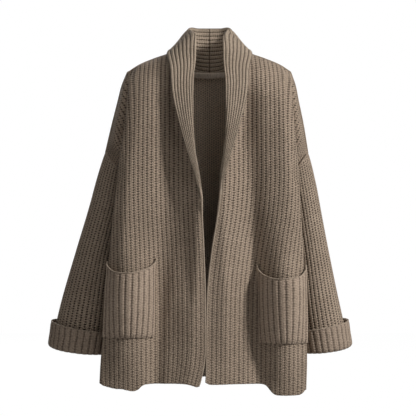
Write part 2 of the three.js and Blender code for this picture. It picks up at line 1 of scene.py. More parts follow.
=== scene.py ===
import math
import bpy
import numpy as np
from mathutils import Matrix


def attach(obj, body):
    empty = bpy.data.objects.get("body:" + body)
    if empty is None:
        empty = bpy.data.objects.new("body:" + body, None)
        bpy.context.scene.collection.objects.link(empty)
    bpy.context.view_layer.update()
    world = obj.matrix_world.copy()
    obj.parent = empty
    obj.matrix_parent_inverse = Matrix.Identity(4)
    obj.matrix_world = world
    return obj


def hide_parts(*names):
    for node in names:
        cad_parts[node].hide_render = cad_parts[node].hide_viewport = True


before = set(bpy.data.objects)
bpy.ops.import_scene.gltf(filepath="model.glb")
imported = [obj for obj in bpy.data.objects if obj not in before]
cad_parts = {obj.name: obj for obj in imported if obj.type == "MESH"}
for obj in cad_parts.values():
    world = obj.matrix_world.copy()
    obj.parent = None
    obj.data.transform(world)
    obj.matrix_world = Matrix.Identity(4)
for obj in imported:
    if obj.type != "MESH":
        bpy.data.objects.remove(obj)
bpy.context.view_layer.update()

# Shawl collar cardigan in thick fisherman rib, filled out with nobody inside.
# Lengths in the tables are millimetres in the frame's own axes and become metres when a piece is made.

# the cut and hang of the body, shared by fronts, back, pockets and tape
body = {
    "wall": 3.2, "ribRise": 0.6, "furrow": 0.1, "rib": 10.45, "row": 5.9, "seamGap": 0.3,
    "frontRibs": 34, "backRibs": 32, "turnRibs": 23, "backFirst": 17.6, "hemLevel": -716.0,
    "seamY": 10.0, "shoulderZ": 7.0, "armSeamZ": -183.0, "underarmZ": -253.0, "armholeDepth": 62.0,
    "frontRound": 105.0, "backRound": 200.0, "shoulderTurn": 36.0, "edgeY": -119.0, "backY": 103.0,
    "foldLoss": 3.0, "armY": -44.0, "neckOut": 74.0,
}
rowColumns = ("z", "edge", "fold", "foldY", "pinch", "pinchY", "end", "tail", "tailY")
halves = {
    "left": {
        "sign": -1, "first": 16.9, "edgeTip": 19.4,
        "rows": [
            (7, 19.4, 188, -45, 189, -20, 192, 176, 56),
            (-25, 19.4, 188.5, -62, 186, -34, 205, 184, 62),
            (-60, 19.4, 190.5, -74, 184, -36, 214, 191, 66),
            (-115, 19.4, 195.5, -84, 183, -36, 228, 202, 68),
            (-183, 19.4, 207, -88, 186, -38, 244, 214, 70),
            (-253, 19.4, 216, -90, 185, -40, 188.5, 188, 76),
            (-325, 17.9, 224, -92, 186, -30, 178, 184, 80),
            (-405, 14.2, 230.8, -94, 196, -28, 186, 196, 82),
            (-495, 11.2, 237.8, -97, 207, -28, 197, 209, 85),
            (-590, 10.3, 244.3, -100, 214, -28, 205, 217, 88),
            (-660, 10.3, 250.1, -101, 232, -32, 224, 230, 88),
            (-704, 10.3, 252.5, -101, 238, -32, 232, 236, 87),
            (-728, 10.3, 253.7, -100, 241, -32, 236, 238, 86),
        ],
        # troughs and swells: out from the middle, height, width, reach, depth, lean
        "folds": [
            (72, -60, 26, 170, -15, -0.06), (128, -170, 34, 190, 7, 0.02), (186, -560, 52, 150, 20, 0.03),
            (118, -600, 20, 190, -9, 0.04), (62, -470, 30, 210, 7, 0.03), (20, -330, 17, 120, 6, 0),
        ],
        "creases": [
            (124, -600, 20, 170, -6, 0.03), (84, -150, 22, 150, -7, -0.05), (182, -250, 34, 320, 7, 0),
            (86, -340, 60, 420, -22, 0.02), (40, -620, 26, 110, 6, 0), (200, -330, 22, 120, 4, 0),
        ],
        # hem line by distance out, and how far the front corner swings out near it
        "hem": [
            (14, -715), (21, -721), (31, -719), (49, -715), (72, -714), (113, -714.5), (143, -715.5), (153, -718),
            (164, -727.5), (175, -731), (189, -729), (201, -726.5), (217, -725.6), (244, -719), (254, -713),
        ],
        "swing": [(-640, 0), (-670, 3), (-690, 7), (-712, 12), (-722, 16)],
        # middle of the sleeve by out and height, tilt in degrees, half its width and half its depth
        "sleeve": [
            (217, -218, 52.4, 44.2, 62), (226, -263, 33, 43.5, 62), (235.7, -312, 16, 45, 62),
            (265.5, -426, 15, 49, 63), (288, -541, 12.5, 60, 66), (304, -638, 6.5, 66, 68),
        ],
        "pocket": {"inner": 124, "wrap": 20, "innerTop": -427, "outerTop": -435, "sag": 31, "bottom": -609,
                   "swell": 12.5, "gap": 0.5, "sink": (5.4, 2.0)},
    },
    "right": {
        "sign": 1, "first": 16.4, "edgeTip": 25.2,
        "rows": [
            (7, 24.6, 186, -45, 187, -20, 190, 174, 56),
            (-25, 24.8, 191, -62, 186, -36, 201, 181, 62),
            (-60, 25, 192.5, -74, 183, -36, 208, 186, 66),
            (-115, 25.2, 196, -84, 181, -36, 219.5, 194, 68),
            (-183, 25.2, 203.5, -88, 179, -38, 230.6, 201, 70),
            (-253, 25.2, 209.3, -90, 174, -40, 178.5, 178, 76),
            (-325, 19.8, 212.7, -92, 174, -30, 166, 173, 80),
            (-405, 7.2, 217.6, -94, 181, -28, 171, 181, 82),
            (-495, -3, 220.6, -97, 188, -28, 178, 190, 85),
            (-590, -5.7, 223.8, -100, 188, -28, 180, 192, 88),
            (-660, -6.3, 225.1, -101, 199, -32, 191, 200, 88),
            (-728, -6.9, 221.8, -100, 212, -32, 207, 210, 86),
        ],
        "folds": [
            (72, -60, 26, 170, -15, -0.06), (128, -190, 34, 190, 6, 0), (172, -580, 44, 160, 22, 0.02),
            (112, -560, 20, 210, -15, 0.05), (52, -420, 32, 190, 9, -0.03),
        ],
        "creases": [
            (92, -170, 26, 190, -9, -0.02), (184, -250, 34, 320, 12, 0), (104, -380, 26, 150, -6, 0.02),
            (98, -330, 60, 430, -25, 0), (40, -600, 34, 130, 5, 0), (186, -380, 20, 90, -4, 0.05),
        ],
        "hem": [
            (-6, -712), (2, -715.5), (47, -715), (104, -715), (124, -716.5), (133, -722), (141, -732),
            (151, -739.5), (172, -741), (200, -740.5), (212, -738), (222, -729),
        ],
        "swing": [(-700, 0), (-720, -1)],
        "sleeve": [
            (205.3, -218, 54.1, 43.2, 62), (211.5, -262, 32, 40.5, 62), (218.7, -309, 13, 40, 62),
            (236, -423, 12.5, 44, 63), (251.7, -537, 12, 52, 66), (268, -636, 6, 58, 68),
        ],
        "pocket": {"inner": 112, "wrap": 20, "innerTop": -442, "outerTop": -443, "sag": 34, "bottom": -622,
                   "swell": 13, "gap": 1.2, "sink": (3.4, 2.4)},
    },
}
# lines on the body by distance out and height
neckline = [
    (19, -292), (24, -252), (31, -214), (38, -180), (47, -135), (53, -95), (58, -50), (63, -8), (68, 28), (74, 56.5),
]
neckPlaces = ([z for _, z in neckline], [out for out, _ in neckline])
shoulderLine = [(0, 70), (74, 57), (97, 49), (132, 37), (165, 23), (190, 7)]
backNeck = [(0, 5), (30, 9), (55, 24), (74, 57)]

# corners of a level section of the body: places between their neighbours, and how far each is rounded
planLook = {
    "backTurn": (0.6, 3), "flank": 0.72, "flankLift": (0.3, 0.1), "backCuts": [0, 50, 30, 12, 0], "backLevel": 0.9,
    "frontBow": 9, "arm": 0.72, "armLift": (0.18, 0.6), "bulgeOver": 30, "frontCuts": [0, 60, 15, 10, 12, 0],
    "frontTurn": 20,
}
# where the cloth is evened out at the two ends of the armhole, in heights and widths of each fade
easeLook = {
    "high": (8, 38, 16), "low": (24, 12), "out": (180, 16), "deep": (74, 12), "pull": 0.8, "passes": 24,
    "bands": (("armSeamZ", 9, 15), ("underarmZ", 12, 10)), "turns": 5,
}


def mix(a, b, t):
    return a + (b - a) * t


def smooth(t):
    t = np.clip(t, 0, 1)
    return t * t * (3 - 2 * t)


def readTable(keys, values, at):
    # smooth curve through a table whose keys rise or fall steadily
    keys, values = np.asarray(keys, float), np.asarray(values, float)
    if keys[0] > keys[-1]:
        keys, values = keys[::-1], values[::-1]
    last = len(keys) - 1
    m = np.arange(last + 1)
    low, high = np.maximum(m - 1, 0), np.minimum(m + 1, last)
    slope = (values[high] - values[low]) / (keys[high] - keys[low])
    at = np.asarray(at, float)
    k = np.clip(np.searchsorted(keys, at, side="right") - 1, 0, last - 1)
    span = keys[k + 1] - keys[k]
    t = np.clip((at - keys[k]) / span, 0, 1)
    return (mix(values[k], values[k + 1], t * t * (3 - 2 * t))
            + t * (1 - t) ** 2 * slope[k] * span - t * t * (1 - t) * slope[k + 1] * span)


def glide(points, t):
    # smooth curve through rows of numbers evenly spaced in t
    points = np.asarray(points, float)
    last = len(points) - 1
    place = np.clip(np.asarray(t, float), 0, 1) * last
    k = np.minimum(place.astype(int), last - 1)
    f = (place - k)[..., None]
    p0, p1 = points[np.maximum(k - 1, 0)], points[k]
    p2, p3 = points[k + 1], points[np.minimum(k + 2, last)]
    return (mix(p1, p2, f * f * (3 - 2 * f))
            + f * (1 - f) ** 2 * (p2 - p0) / 2 - f * f * (1 - f) * (p3 - p1) / 2)


def tableColumn(table, at, column, start=0, stop=None):
    rows = table[start:stop]
    return readTable([r[0] for r in rows], [r[rowColumns.index(column)] for r in rows], at)


def roundedLine(corners, cuts):
    # a line with its corners rounded, and the distance along it
    pts = [np.array(corners[0], float)]
    for i in range(1, len(corners) - 1):
        c = np.array(corners[i], float)
        ends = []
        for other in (corners[i - 1], corners[i + 1]):
            d = np.array(other, float) - c
            ends.append(c + d * min(cuts[i] / max(np.hypot(*d), 1e-6), 0.49))
        for s in range(9):
            t = s / 8
            pts.append((1 - t) ** 2 * ends[0] + 2 * t * (1 - t) * c + t * t * ends[1])
    pts.append(np.array(corners[-1], float))
    pts = np.array(pts)
    far = np.concatenate([[0], np.cumsum(np.hypot(*np.diff(pts, axis=0).T))])
    return pts, far


def panelEnd(half, z, face):
    # where a panel ends at a height: over the arm, round the armhole, or at the side seam
    rows = half["rows"]
    if z > body["armSeamZ"]:
        return float(tableColumn(rows, z, "end", 0, 5)), body["seamY"]
    if z > body["underarmZ"]:
        middle = (body["armSeamZ"] + body["underarmZ"]) / 2
        c = np.clip((z - middle) / (body["armSeamZ"] - middle), -1, 1)
        deep = body["armholeDepth"] * math.sqrt(1 - c * c)
        return mix(rows[5][6], rows[4][6], (c + 1) / 2), body["seamY"] + face * deep
    return float(tableColumn(rows, z, "end", 5)), body["seamY"]


def outline(half, z, face):
    # a level section of one panel, and how far along it the cloth lies flat to the front or back
    r = {name: float(tableColumn(half["rows"], z, name)) for name in rowColumns[1:]}
    end = panelEnd(half, z, face)
    if face > 0:
        lift = planLook["flankLift"][0 if z > body["underarmZ"] else 1]
        flank = (mix(r["tail"], end[0], planLook["flank"]), mix(r["tailY"], end[1], lift))
        share, back = planLook["backTurn"]
        corners = [(0, body["backY"]), (r["tail"] * share, body["backY"] - back), (r["tail"], r["tailY"]), flank, end]
        return roundedLine(corners, planLook["backCuts"]), r["tail"] * planLook["backLevel"]
    edge, pinch = (r["edge"], body["edgeY"]), (r["pinch"], r["pinchY"])
    fold = (r["fold"] + body["foldLoss"], r["foldY"])
    # above the armhole the upper arm bulges forward again beside the pinch
    bulge = smooth((z - body["underarmZ"]) / planLook["bulgeOver"])
    plain, bulged = planLook["armLift"]
    arm = (mix(pinch[0], end[0], planLook["arm"]),
           mix(mix(pinch[1], end[1], plain), mix(pinch[1], min(end[1], body["armY"]), bulged), bulge))
    middle = (mix(edge[0], fold[0], 0.5), mix(edge[1], fold[1], 0.5) - planLook["frontBow"])
    corners = [edge, middle, fold, pinch, arm, end]
    return roundedLine(corners, planLook["frontCuts"]), fold[0] - edge[0] - planLook["frontTurn"]


def ribsAtShoulder(half, face):
    return body["backFirst"] if face > 0 else half["first"]


class PanelMap:
    # where each rib of a panel lies at each height, worked out once on fine steps
    step = 0.1
    plumbZ = -115.0

    def __init__(self, half, face):
        self.half, self.face = half, face
        self.all = body["backRibs"] if face > 0 else body["frontRibs"]
        arm, under = body["armSeamZ"], body["underarmZ"]
        ring = (arm + under) / 2 + (arm - under) / 2 * np.cos(np.linspace(np.pi, 0, 61))
        below, above = np.linspace(-770, under - 0.01, 150), np.linspace(arm + 0.5, 80, 120)
        self.z = np.concatenate([below, ring + 1e-4, above])
        ribs = np.arange(0, self.all + self.step * 1.5, self.step)
        outs, ys, self.level, self.rest, self.last = [], [], [], [], []
        first = ribsAtShoulder(half, face)
        (plumb, plumbFar), _ = outline(half, self.plumbZ, face)
        for z in self.z:
            (pts, far), turn = outline(half, z, face)
            total = far[-1]
            past = min((body["shoulderZ"] - z) / (body["shoulderZ"] - arm), 1)
            last = mix(first, self.all, past)
            level = min(turn / body["rib"], last - 0.4)
            inner, reach = ribs * body["rib"], level * body["rib"]
            if z > self.plumbZ:
                # above this height the ribs run straight up instead of keeping their spacing along the cloth
                crest = int(np.argmax(pts[:, 0])) + 1
                inner = np.interp(np.interp(inner, plumbFar, plumb[:, 0]), pts[:crest, 0], far[:crest])
                reach = float(np.interp(level, ribs, inner))
            beyond = (ribs - level) / max(last - level, 0.01)
            s = np.clip(np.where(ribs < level, inner, reach + beyond * (total - reach)), 0, total)
            outs.append(np.interp(s, far, pts[:, 0]))
            ys.append(np.interp(s, far, pts[:, 1]))
            self.level.append(turn / body["rib"])
            self.rest.append(total - turn)
            self.last.append(last)
        self.out, self.y = np.array(outs), np.array(ys)

    def line(self, ribs, z):
        k = np.clip(np.searchsorted(self.z, z) - 1, 0, len(self.z) - 2)
        t = np.clip((z - self.z[k]) / (self.z[k + 1] - self.z[k]), 0, 1)
        place = np.clip(ribs / self.step, 0, self.out.shape[1] - 1.001)
        g = place.astype(int)
        f = place - g
        read = lambda m: mix(mix(m[k, g], m[k, g + 1], f), mix(m[k + 1, g], m[k + 1, g + 1], f), t)
        return read(self.out), read(self.y)

    def ribTop(self, ribs):
        first = ribsAtShoulder(self.half, self.face)
        start = 0 if self.face > 0 else self.half["edgeTip"]
        over = mix(body["shoulderZ"], body["armSeamZ"], (ribs - first) / (self.all - first))
        out = mix(start, self.half["rows"][0][6], ribs / first)
        ridge = readTable(*zip(*shoulderLine), out)
        neck = backNeck if self.face > 0 else neckline
        top = np.where(out < body["neckOut"], readTable(*zip(*neck), out), ridge)
        past = ribs > first
        return np.where(past, over, top), np.where(past, over, ridge), out, past

    def relief(self, out, z):
        total = 0
        for at, middle, wide, tall, push, lean in self.half["folds"]:
            across = (out - at - (middle - z) * lean) / wide
            down = (z - middle) / tall
            total = total + push * np.exp(-across * across - down ** 4)
        # further creases, which leave the neckline alone
        clear = smooth((out - np.interp(z, *neckPlaces) - 6) / 26)
        for at, middle, wide, tall, push, lean in self.half["creases"]:
            across = (out - at - (middle - z) * lean) / wide
            down = (z - middle) / tall
            total = total + clear * push * np.exp(-across * across - down ** 4)
        return total

    def point(self, ribs, z):
        ribs, z = np.broadcast_arrays(np.asarray(ribs, float), np.asarray(z, float))
        lineOut, y = self.line(ribs, z)
        _, ridge, topOut, past = self.ribTop(ribs)
        topOut = np.where(past, lineOut, topOut)
        out = mix(topOut, lineOut, smooth((ridge - z) / body["shoulderTurn"]))
        ridge = np.where(past, body["shoulderZ"], ridge)
        depth = np.clip((ridge - z) / (body["backRound"] if self.face > 0 else body["frontRound"]), 0, 1)
        swell = np.sqrt(np.clip(1 - (1 - depth) ** 2, 0, 1))
        push = 0
        if self.face < 0:
            # troughs and swells fade out round the fold at the side
            push = self.relief(out, z) * smooth((np.interp(z, self.z, self.level) + 2.5 - ribs) / 4)
            swing = np.interp(-z, [-k for k, _ in self.half["swing"]], [s for _, s in self.half["swing"]])
            out = out + swing * (1 - smooth(ribs / 12))
        deep = body["seamY"] + (y - body["seamY"]) * swell - push * swell
        return np.stack([self.half["sign"] * out, deep + self.face * body["seamGap"] / 2, z], -1)

    def hem(self, ribs):
        if self.face > 0:
            return np.full(np.shape(ribs), body["hemLevel"])
        out = self.point(ribs, np.full(np.shape(ribs), -700.0))[..., 0] * self.half["sign"]
        side = smooth((ribs - body["turnRibs"] - 1) / 5)
        return mix(readTable(*zip(*self.half["hem"]), out), body["hemLevel"], side)

    def normal(self, ribs, z):
        base = self.point(ribs, z)
        n = np.cross(self.point(ribs + 0.3, z) - base, self.point(ribs, z - 2.0) - base)
        return unit(n * self.half["sign"] * self.face)


def unit(v):
    return v / np.maximum(np.linalg.norm(v, axis=-1, keepdims=True), 1e-9)


panels = {(side, face): PanelMap(half, face) for side, half in halves.items() for face in (-1, 1)}
print("panels mapped")


def gridNormals(points, ring=False):
    if ring:
        across = np.roll(points, -1, 1) - np.roll(points, 1, 1)
    else:
        across = np.gradient(points, axis=1)
    return unit(np.cross(across, np.gradient(points, axis=0)))


def ribProfile(ribs, sharp):
    # 0 in the furrow, 1 on the crest
    return 1 - np.abs(2 * (ribs - np.floor(ribs)) - 1) ** sharp


def stitchRows(points, row):
    # rows of stitches counted up each column from its end
    lengths = np.linalg.norm(np.diff(points, axis=0), axis=-1)
    down = np.concatenate([np.zeros((1, points.shape[1])), np.cumsum(lengths, 0)])
    return (down[-1] - down) / row


def levelRows(points, row, level=-300.0):
    # rows counted mostly by height, so that they stay level across folds and an uneven hem
    lengths = np.linalg.norm(np.diff(points, axis=0), axis=-1)
    down = np.concatenate([np.zeros((1, points.shape[1])), np.cumsum(lengths, 0)])
    start = np.array([np.interp(-level, -points[:, c, 2], down[:, c]) for c in range(points.shape[1])])
    return (0.75 * (points[..., 2] - level) + 0.25 * (start - down)) / row


def relaxed(points):
    # evens out the cloth at the two ends of the armhole, where its columns crowd together
    x, y, z = np.moveaxis(points[1:-1, 1:-1], -1, 0)
    (under, tall, fade), (short, lowFade) = easeLook["high"], easeLook["low"]
    (out, outFade), (deep, deepFade) = easeLook["out"], easeLook["deep"]
    near = np.maximum(smooth((tall - np.abs(z - body["armSeamZ"] + under)) / fade),
                      smooth((short - np.abs(z - body["underarmZ"])) / lowFade))
    near = near * smooth((np.abs(x) - out) / outFade) * smooth((deep - np.abs(y - body["seamY"])) / deepFade)
    for _ in range(easeLook["passes"]):
        around = (points[:-2, 1:-1] + points[2:, 1:-1] + points[1:-1, :-2] + points[1:-1, 2:]) / 4
        points[1:-1, 1:-1] = mix(points[1:-1, 1:-1], around, near[..., None] * easeLook["pull"])
    return points


def softened(points, normals):
    # evens out the directions between neighbours, and bridges the two ends of the armhole
    for c in range(points.shape[1]):
        z = points[:, c, 2]
        keep = np.ones(len(z), bool)
        for end, above, below in easeLook["bands"]:
            keep &= (z > body[end] + above) | (z < body[end] - below)
        normals[:, c] = np.stack([np.interp(-z, -z[keep], normals[keep, c, i]) for i in range(3)], -1)
    normals = unit(normals)
    for _ in range(easeLook["turns"]):
        normals[1:-1, 1:-1] = unit(normals[1:-1, 1:-1] * 2 + normals[:-2, 1:-1] + normals[2:, 1:-1]
                                   + normals[1:-1, :-2] + normals[1:-1, 2:])
    return normals


def makeWall(name, points, normals, rise, wall, ribs, rows, stride, ring=False, roll=None, arc=3):
    # points, normals and rise by row and column; the inside keeps every stride-th column
    roll = {"top": 0.8, "bottom": 0.8, "left": 0.8, "right": 0.8, **(roll or {})}
    rowCount, columns = points.shape[:2]
    wall = np.broadcast_to(np.asarray(wall, float), rise.shape)
    middle, half = (rise - wall) / 2, (rise + wall) / 2
    marks = np.arange(0, columns, stride)
    if not ring and marks[-1] != columns - 1:
        marks = np.append(marks, columns - 1)
    topWay, endWay = unit(points[0] - points[1]), unit(points[-1] - points[-2])
    caps = [math.radians(a) for a in (72, 48, 24)]
    rings = ([(0, a, topWay, roll["top"]) for a in caps] + [(r, 0.0, topWay, 0) for r in range(rowCount)]
             + [(rowCount - 1, a, endWay, roll["bottom"]) for a in reversed(caps)])
    verts, uvs = [], []
    for r, angle, way, out in rings:
        c, s = math.cos(angle), math.sin(angle) * out
        p, n, m, h = points[r], normals[r], middle[r][:, None], half[r][:, None]
        outer = p + n * (m + h * c) + way * h * s
        inner = (p + n * (m - h * c) + way * h * s)[marks]
        u = np.broadcast_to(ribs[r] if ribs.ndim > 1 else ribs, (columns,))
        v = rows[r] + math.sin(angle) * (1 if r == 0 else -1) * 0.3
        if ring:
            verts += [outer, inner]
            turn = u[-1] + (u[1] - u[0])
            uvs.append(np.stack([np.concatenate([u, [turn], u[marks], [turn]]),
                                 np.concatenate([v, [v[0]], v[marks], [v[0]]])], -1))
            continue
        arcs = []
        for edge, other, key in ((columns - 1, columns - 2, "right"), (0, 1, "left")):
            side = unit(p[edge] - p[other])
            rounded = []
            for k in range(1, arc + 1):
                phi = math.pi * k / (arc + 1)
                rounded.append(p[edge] + n[edge] * (m[edge] + h[edge] * math.cos(phi) * c)
                              + side * h[edge] * math.sin(phi) * c * roll[key] + way[edge] * h[edge] * s)
            arcs.append(np.array(rounded))
        verts += [outer, arcs[0], inner[::-1], arcs[1][::-1]]
        uvs.append(np.stack([np.concatenate([w, np.full(arc, w[-1]), w[marks][::-1], np.full(arc, w[0])])
                             for w in (u, v)], -1))
    count = len(rings)
    size = columns + len(marks) + (0 if ring else 2 * arc)
    quads, quadUvs, tris, triUvs, lining = [], [], [], [], []
    if ring:
        uvSize = size + 2
        for start, uvStart, n, flip in ((0, 0, columns, False), (columns, columns + 1, len(marks), True)):
            j = np.arange(n)
            k = (j + 1) % n
            for i in range(count - 1):
                a, b = i * size + start, (i + 1) * size + start
                ua, ub = i * uvSize + uvStart, (i + 1) * uvSize + uvStart
                q = np.stack([a + j, a + k, b + k, b + j], -1)
                w = np.stack([ua + j, ua + j + 1, ub + j + 1, ub + j], -1)
                quads.append(q[:, ::-1] if flip else q)
                quadUvs.append(w[:, ::-1] if flip else w)
                lining.append(np.full(n, flip))
    else:
        uvSize = size
        j = np.arange(size)
        k = (j + 1) % size
        for i in range(count - 1):
            a, b = i * size, (i + 1) * size
            quads.append(np.stack([a + j, a + k, b + k, b + j], -1))
            lining.append((j > columns + arc) & (j < columns + arc + len(marks)))
        quadUvs = quads
    for i, turned in ((0, False), (count - 1, True)):
        base, uvBase = i * size, i * uvSize
        if ring:
            outerIds = [base + c % columns for c in range(columns + 1)]
            innerIds = [base + columns + m % len(marks) for m in range(len(marks) + 1)]
            outerUv = [uvBase + c for c in range(columns + 1)]
            innerUv = [uvBase + columns + 1 + m for m in range(len(marks) + 1)]
            stops = list(marks) + [columns]
        else:
            outerIds = [base + c for c in range(columns)]
            innerIds = [base + columns + arc + len(marks) - 1 - m for m in range(len(marks))]
            outerUv, innerUv, stops = outerIds, innerIds, list(marks)
        for m in range(len(stops) - 1):
            centre = (stops[m] + stops[m + 1]) // 2
            strip = [((outerIds, c), (innerIds, m), (outerIds, c + 1)) for c in range(stops[m], centre)]
            strip.append(((outerIds, centre), (innerIds, m), (innerIds, m + 1)))
            strip += [((outerIds, c), (innerIds, m + 1), (outerIds, c + 1)) for c in range(centre, stops[m + 1])]
            for t in strip:
                ids = [which[at] for which, at in t]
                uv = [(outerUv if which is outerIds else innerUv)[at] for which, at in t]
                tris.append(ids[::-1] if turned else ids)
                triUvs.append(uv[::-1] if turned else uv)
        if not ring:
            right = [base + columns - 1 + m for m in range(arc + 2)]
            left = [base + size - arc - 1 + m for m in range(arc + 1)] + [base]
            for fan in (right, left):
                for m in range(1, len(fan) - 1):
                    ids = [fan[0], fan[m + 1], fan[m]]
                    tris.append(ids[::-1] if turned else ids)
                    triUvs.append(ids[::-1] if turned else ids)
    verts, uvs, quads, quadUvs, lining = (np.concatenate(rows) for rows in (verts, uvs, quads, quadUvs, lining))
    return finishMesh(name, verts, quads, quadUvs, np.array(tris), np.array(triUvs), uvs, lining)


def finishMesh(name, verts, quads, quadUvs, tris, triUvs, uvs, lining=None):
    # metres, faces outwards, smooth, with the rib and row counts as a map for the knit
    corners = np.concatenate([quads[:, [0, 1, 2]], quads[:, [0, 2, 3]], tris])
    a, b, c = (verts[corners[:, k]] for k in range(3))
    if np.einsum("ij,ij->i", a, np.cross(b, c)).sum() < 0:
        quads, quadUvs, tris, triUvs = (faces[:, ::-1] for faces in (quads, quadUvs, tris, triUvs))
    mesh = bpy.data.meshes.new(name)
    loops = np.concatenate([quads.ravel(), tris.ravel()])
    sizes = np.concatenate([np.full(len(quads), 4), np.full(len(tris), 3)])
    mesh.vertices.add(len(verts))
    mesh.vertices.foreach_set("co", (verts / 1000).astype(np.float32).ravel())
    mesh.loops.add(len(loops))
    mesh.loops.foreach_set("vertex_index", loops.astype(np.int32))
    mesh.polygons.add(len(sizes))
    mesh.polygons.foreach_set("loop_start", np.concatenate([[0], np.cumsum(sizes)[:-1]]).astype(np.int32))
    mesh.polygons.foreach_set("use_smooth", np.ones(len(sizes), bool))
    if lining is not None:
        mesh.polygons.foreach_set("material_index", np.append(lining, np.zeros(len(tris))).astype(np.int32))
    mesh.update(calc_edges=True)
    layer = mesh.uv_layers.new(name="knit")
    uvLoops = np.concatenate([quadUvs.ravel(), triUvs.ravel()])
    layer.data.foreach_set("uv", uvs[uvLoops].astype(np.float32).ravel())
    mesh.validate()
    piece = bpy.data.objects.new(name, mesh)
    bpy.context.scene.collection.objects.link(piece)
    print(f"{name}: {len(quads) * 2 + len(tris)} triangles")
    return piece


def skinArea(points, ring=False):
    # square metres of one side
    if ring:
        points = np.concatenate([points, points[:, :1]], 1)
    d1, d2 = points[1:, 1:] - points[:-1, :-1], points[:-1, 1:] - points[1:, :-1]
    return float(np.linalg.norm(np.cross(d1, d2), axis=-1).sum() / 2) / 1e6


class Wire:
    # a socket that arithmetic can be written with
    def __init__(self, paint, socket):
        self.paint, self.socket = paint, socket

    def math(self, operation, *others):
        inputs = {i: v for i, v in enumerate((self, *others))}
        return self.paint.node("ShaderNodeMath", {"operation": operation}, inputs)[0]

    def __add__(self, other): return self.math("ADD", other)
    def __radd__(self, other): return self.math("ADD", other)
    def __mul__(self, other): return self.math("MULTIPLY", other)
    def __rmul__(self, other): return self.math("MULTIPLY", other)
    def __sub__(self, other): return self.math("SUBTRACT", other)
    def __rsub__(self, other): return self.paint.asWire(other).math("SUBTRACT", self)


class Paint:
    # one material's node tree
    def __init__(self, name):
        self.material = bpy.data.materials.new(name)
        self.material.use_nodes = True
        self.tree = self.material.node_tree
        self.tree.nodes.clear()

    def asWire(self, value):
        if isinstance(value, Wire):
            return value
        made = self.tree.nodes.new("ShaderNodeValue")
        made.outputs[0].default_value = value
        return Wire(self, made.outputs[0])

    def node(self, kind, settings=None, inputs=None):
        made = self.tree.nodes.new(kind)
        for key, value in (settings or {}).items():
            if key == "stops":
                ramp = made.color_ramp
                for i, (place, colour) in enumerate(value):
                    stop = ramp.elements[i] if i < 2 else ramp.elements.new(place)
                    stop.position, stop.color = place, (*colour, 1)
            else:
                setattr(made, key, value)
        for key, value in (inputs or {}).items():
            socket = made.inputs[key]
            if isinstance(value, Wire):
                self.tree.links.new(value.socket, socket)
            else:
                socket.default_value = value
        return [Wire(self, s) for s in made.outputs]

    def fract(self, x): return x.math("FRACT")
    def size(self, x): return x.math("ABSOLUTE")

    def step(self, x, low, high, start=0.0, end=1.0):
        return self.node("ShaderNodeMapRange", {"interpolation_type": "SMOOTHSTEP"},
                         {"Value": x, "From Min": low, "From Max": high, "To Min": start, "To Max": end})[0]

    def blend(self, factor, a, b, way="MIX"):
        settings = {"data_type": "RGBA", "blend_type": way}
        return self.node("ShaderNodeMix", settings, {0: factor, 6: a, 7: b})[2]

    def noise(self, place, scale, detail=2.0):
        return self.node("ShaderNodeTexNoise", {}, {"Vector": place, "Scale": scale, "Detail": detail})[0]

    def finish(self, colour, rough, height, depth, look):
        normal = self.node("ShaderNodeBump", {}, {"Height": height, "Distance": depth, "Strength": 1.0})[0]
        shader = self.node("ShaderNodeBsdfPrincipled", {}, {
            "Base Color": colour, "Roughness": rough, "Normal": normal, "Sheen Weight": look["sheen"],
            "Sheen Roughness": look["sheenRough"], "Sheen Tint": (*look["sheenTint"], 1),
            "Specular IOR Level": look["specular"]})[0]
        self.node("ShaderNodeOutputMaterial", {}, {"Surface": shader})
        return self.material


def linear(r, g, b):
    # display colour 0 to 255 to linear
    return tuple(((c / 255 + 0.055) / 1.055) ** 2.4 if c > 10 else c / 255 / 12.92 for c in (r, g, b))


# noise scales with how far they shift the yarn, tone or patches, and the finish of the wool
yarnLook = {
    "sideways": (110.0, 0.2), "along": (80.0, 0.4), "fibre": 900.0, "fibreRise": 0.18, "speck": 260.0,
    "patch": (14.0, 0.14, 0.8), "glint": (0.5, 0.72, 0.35), "dots": (0.3, 0.65), "rough": (1.0, 0.86),
    "sheen": 0.1, "sheenRough": 0.5, "sheenTint": (0.8, 0.72, 0.64), "specular": 0.2,
}
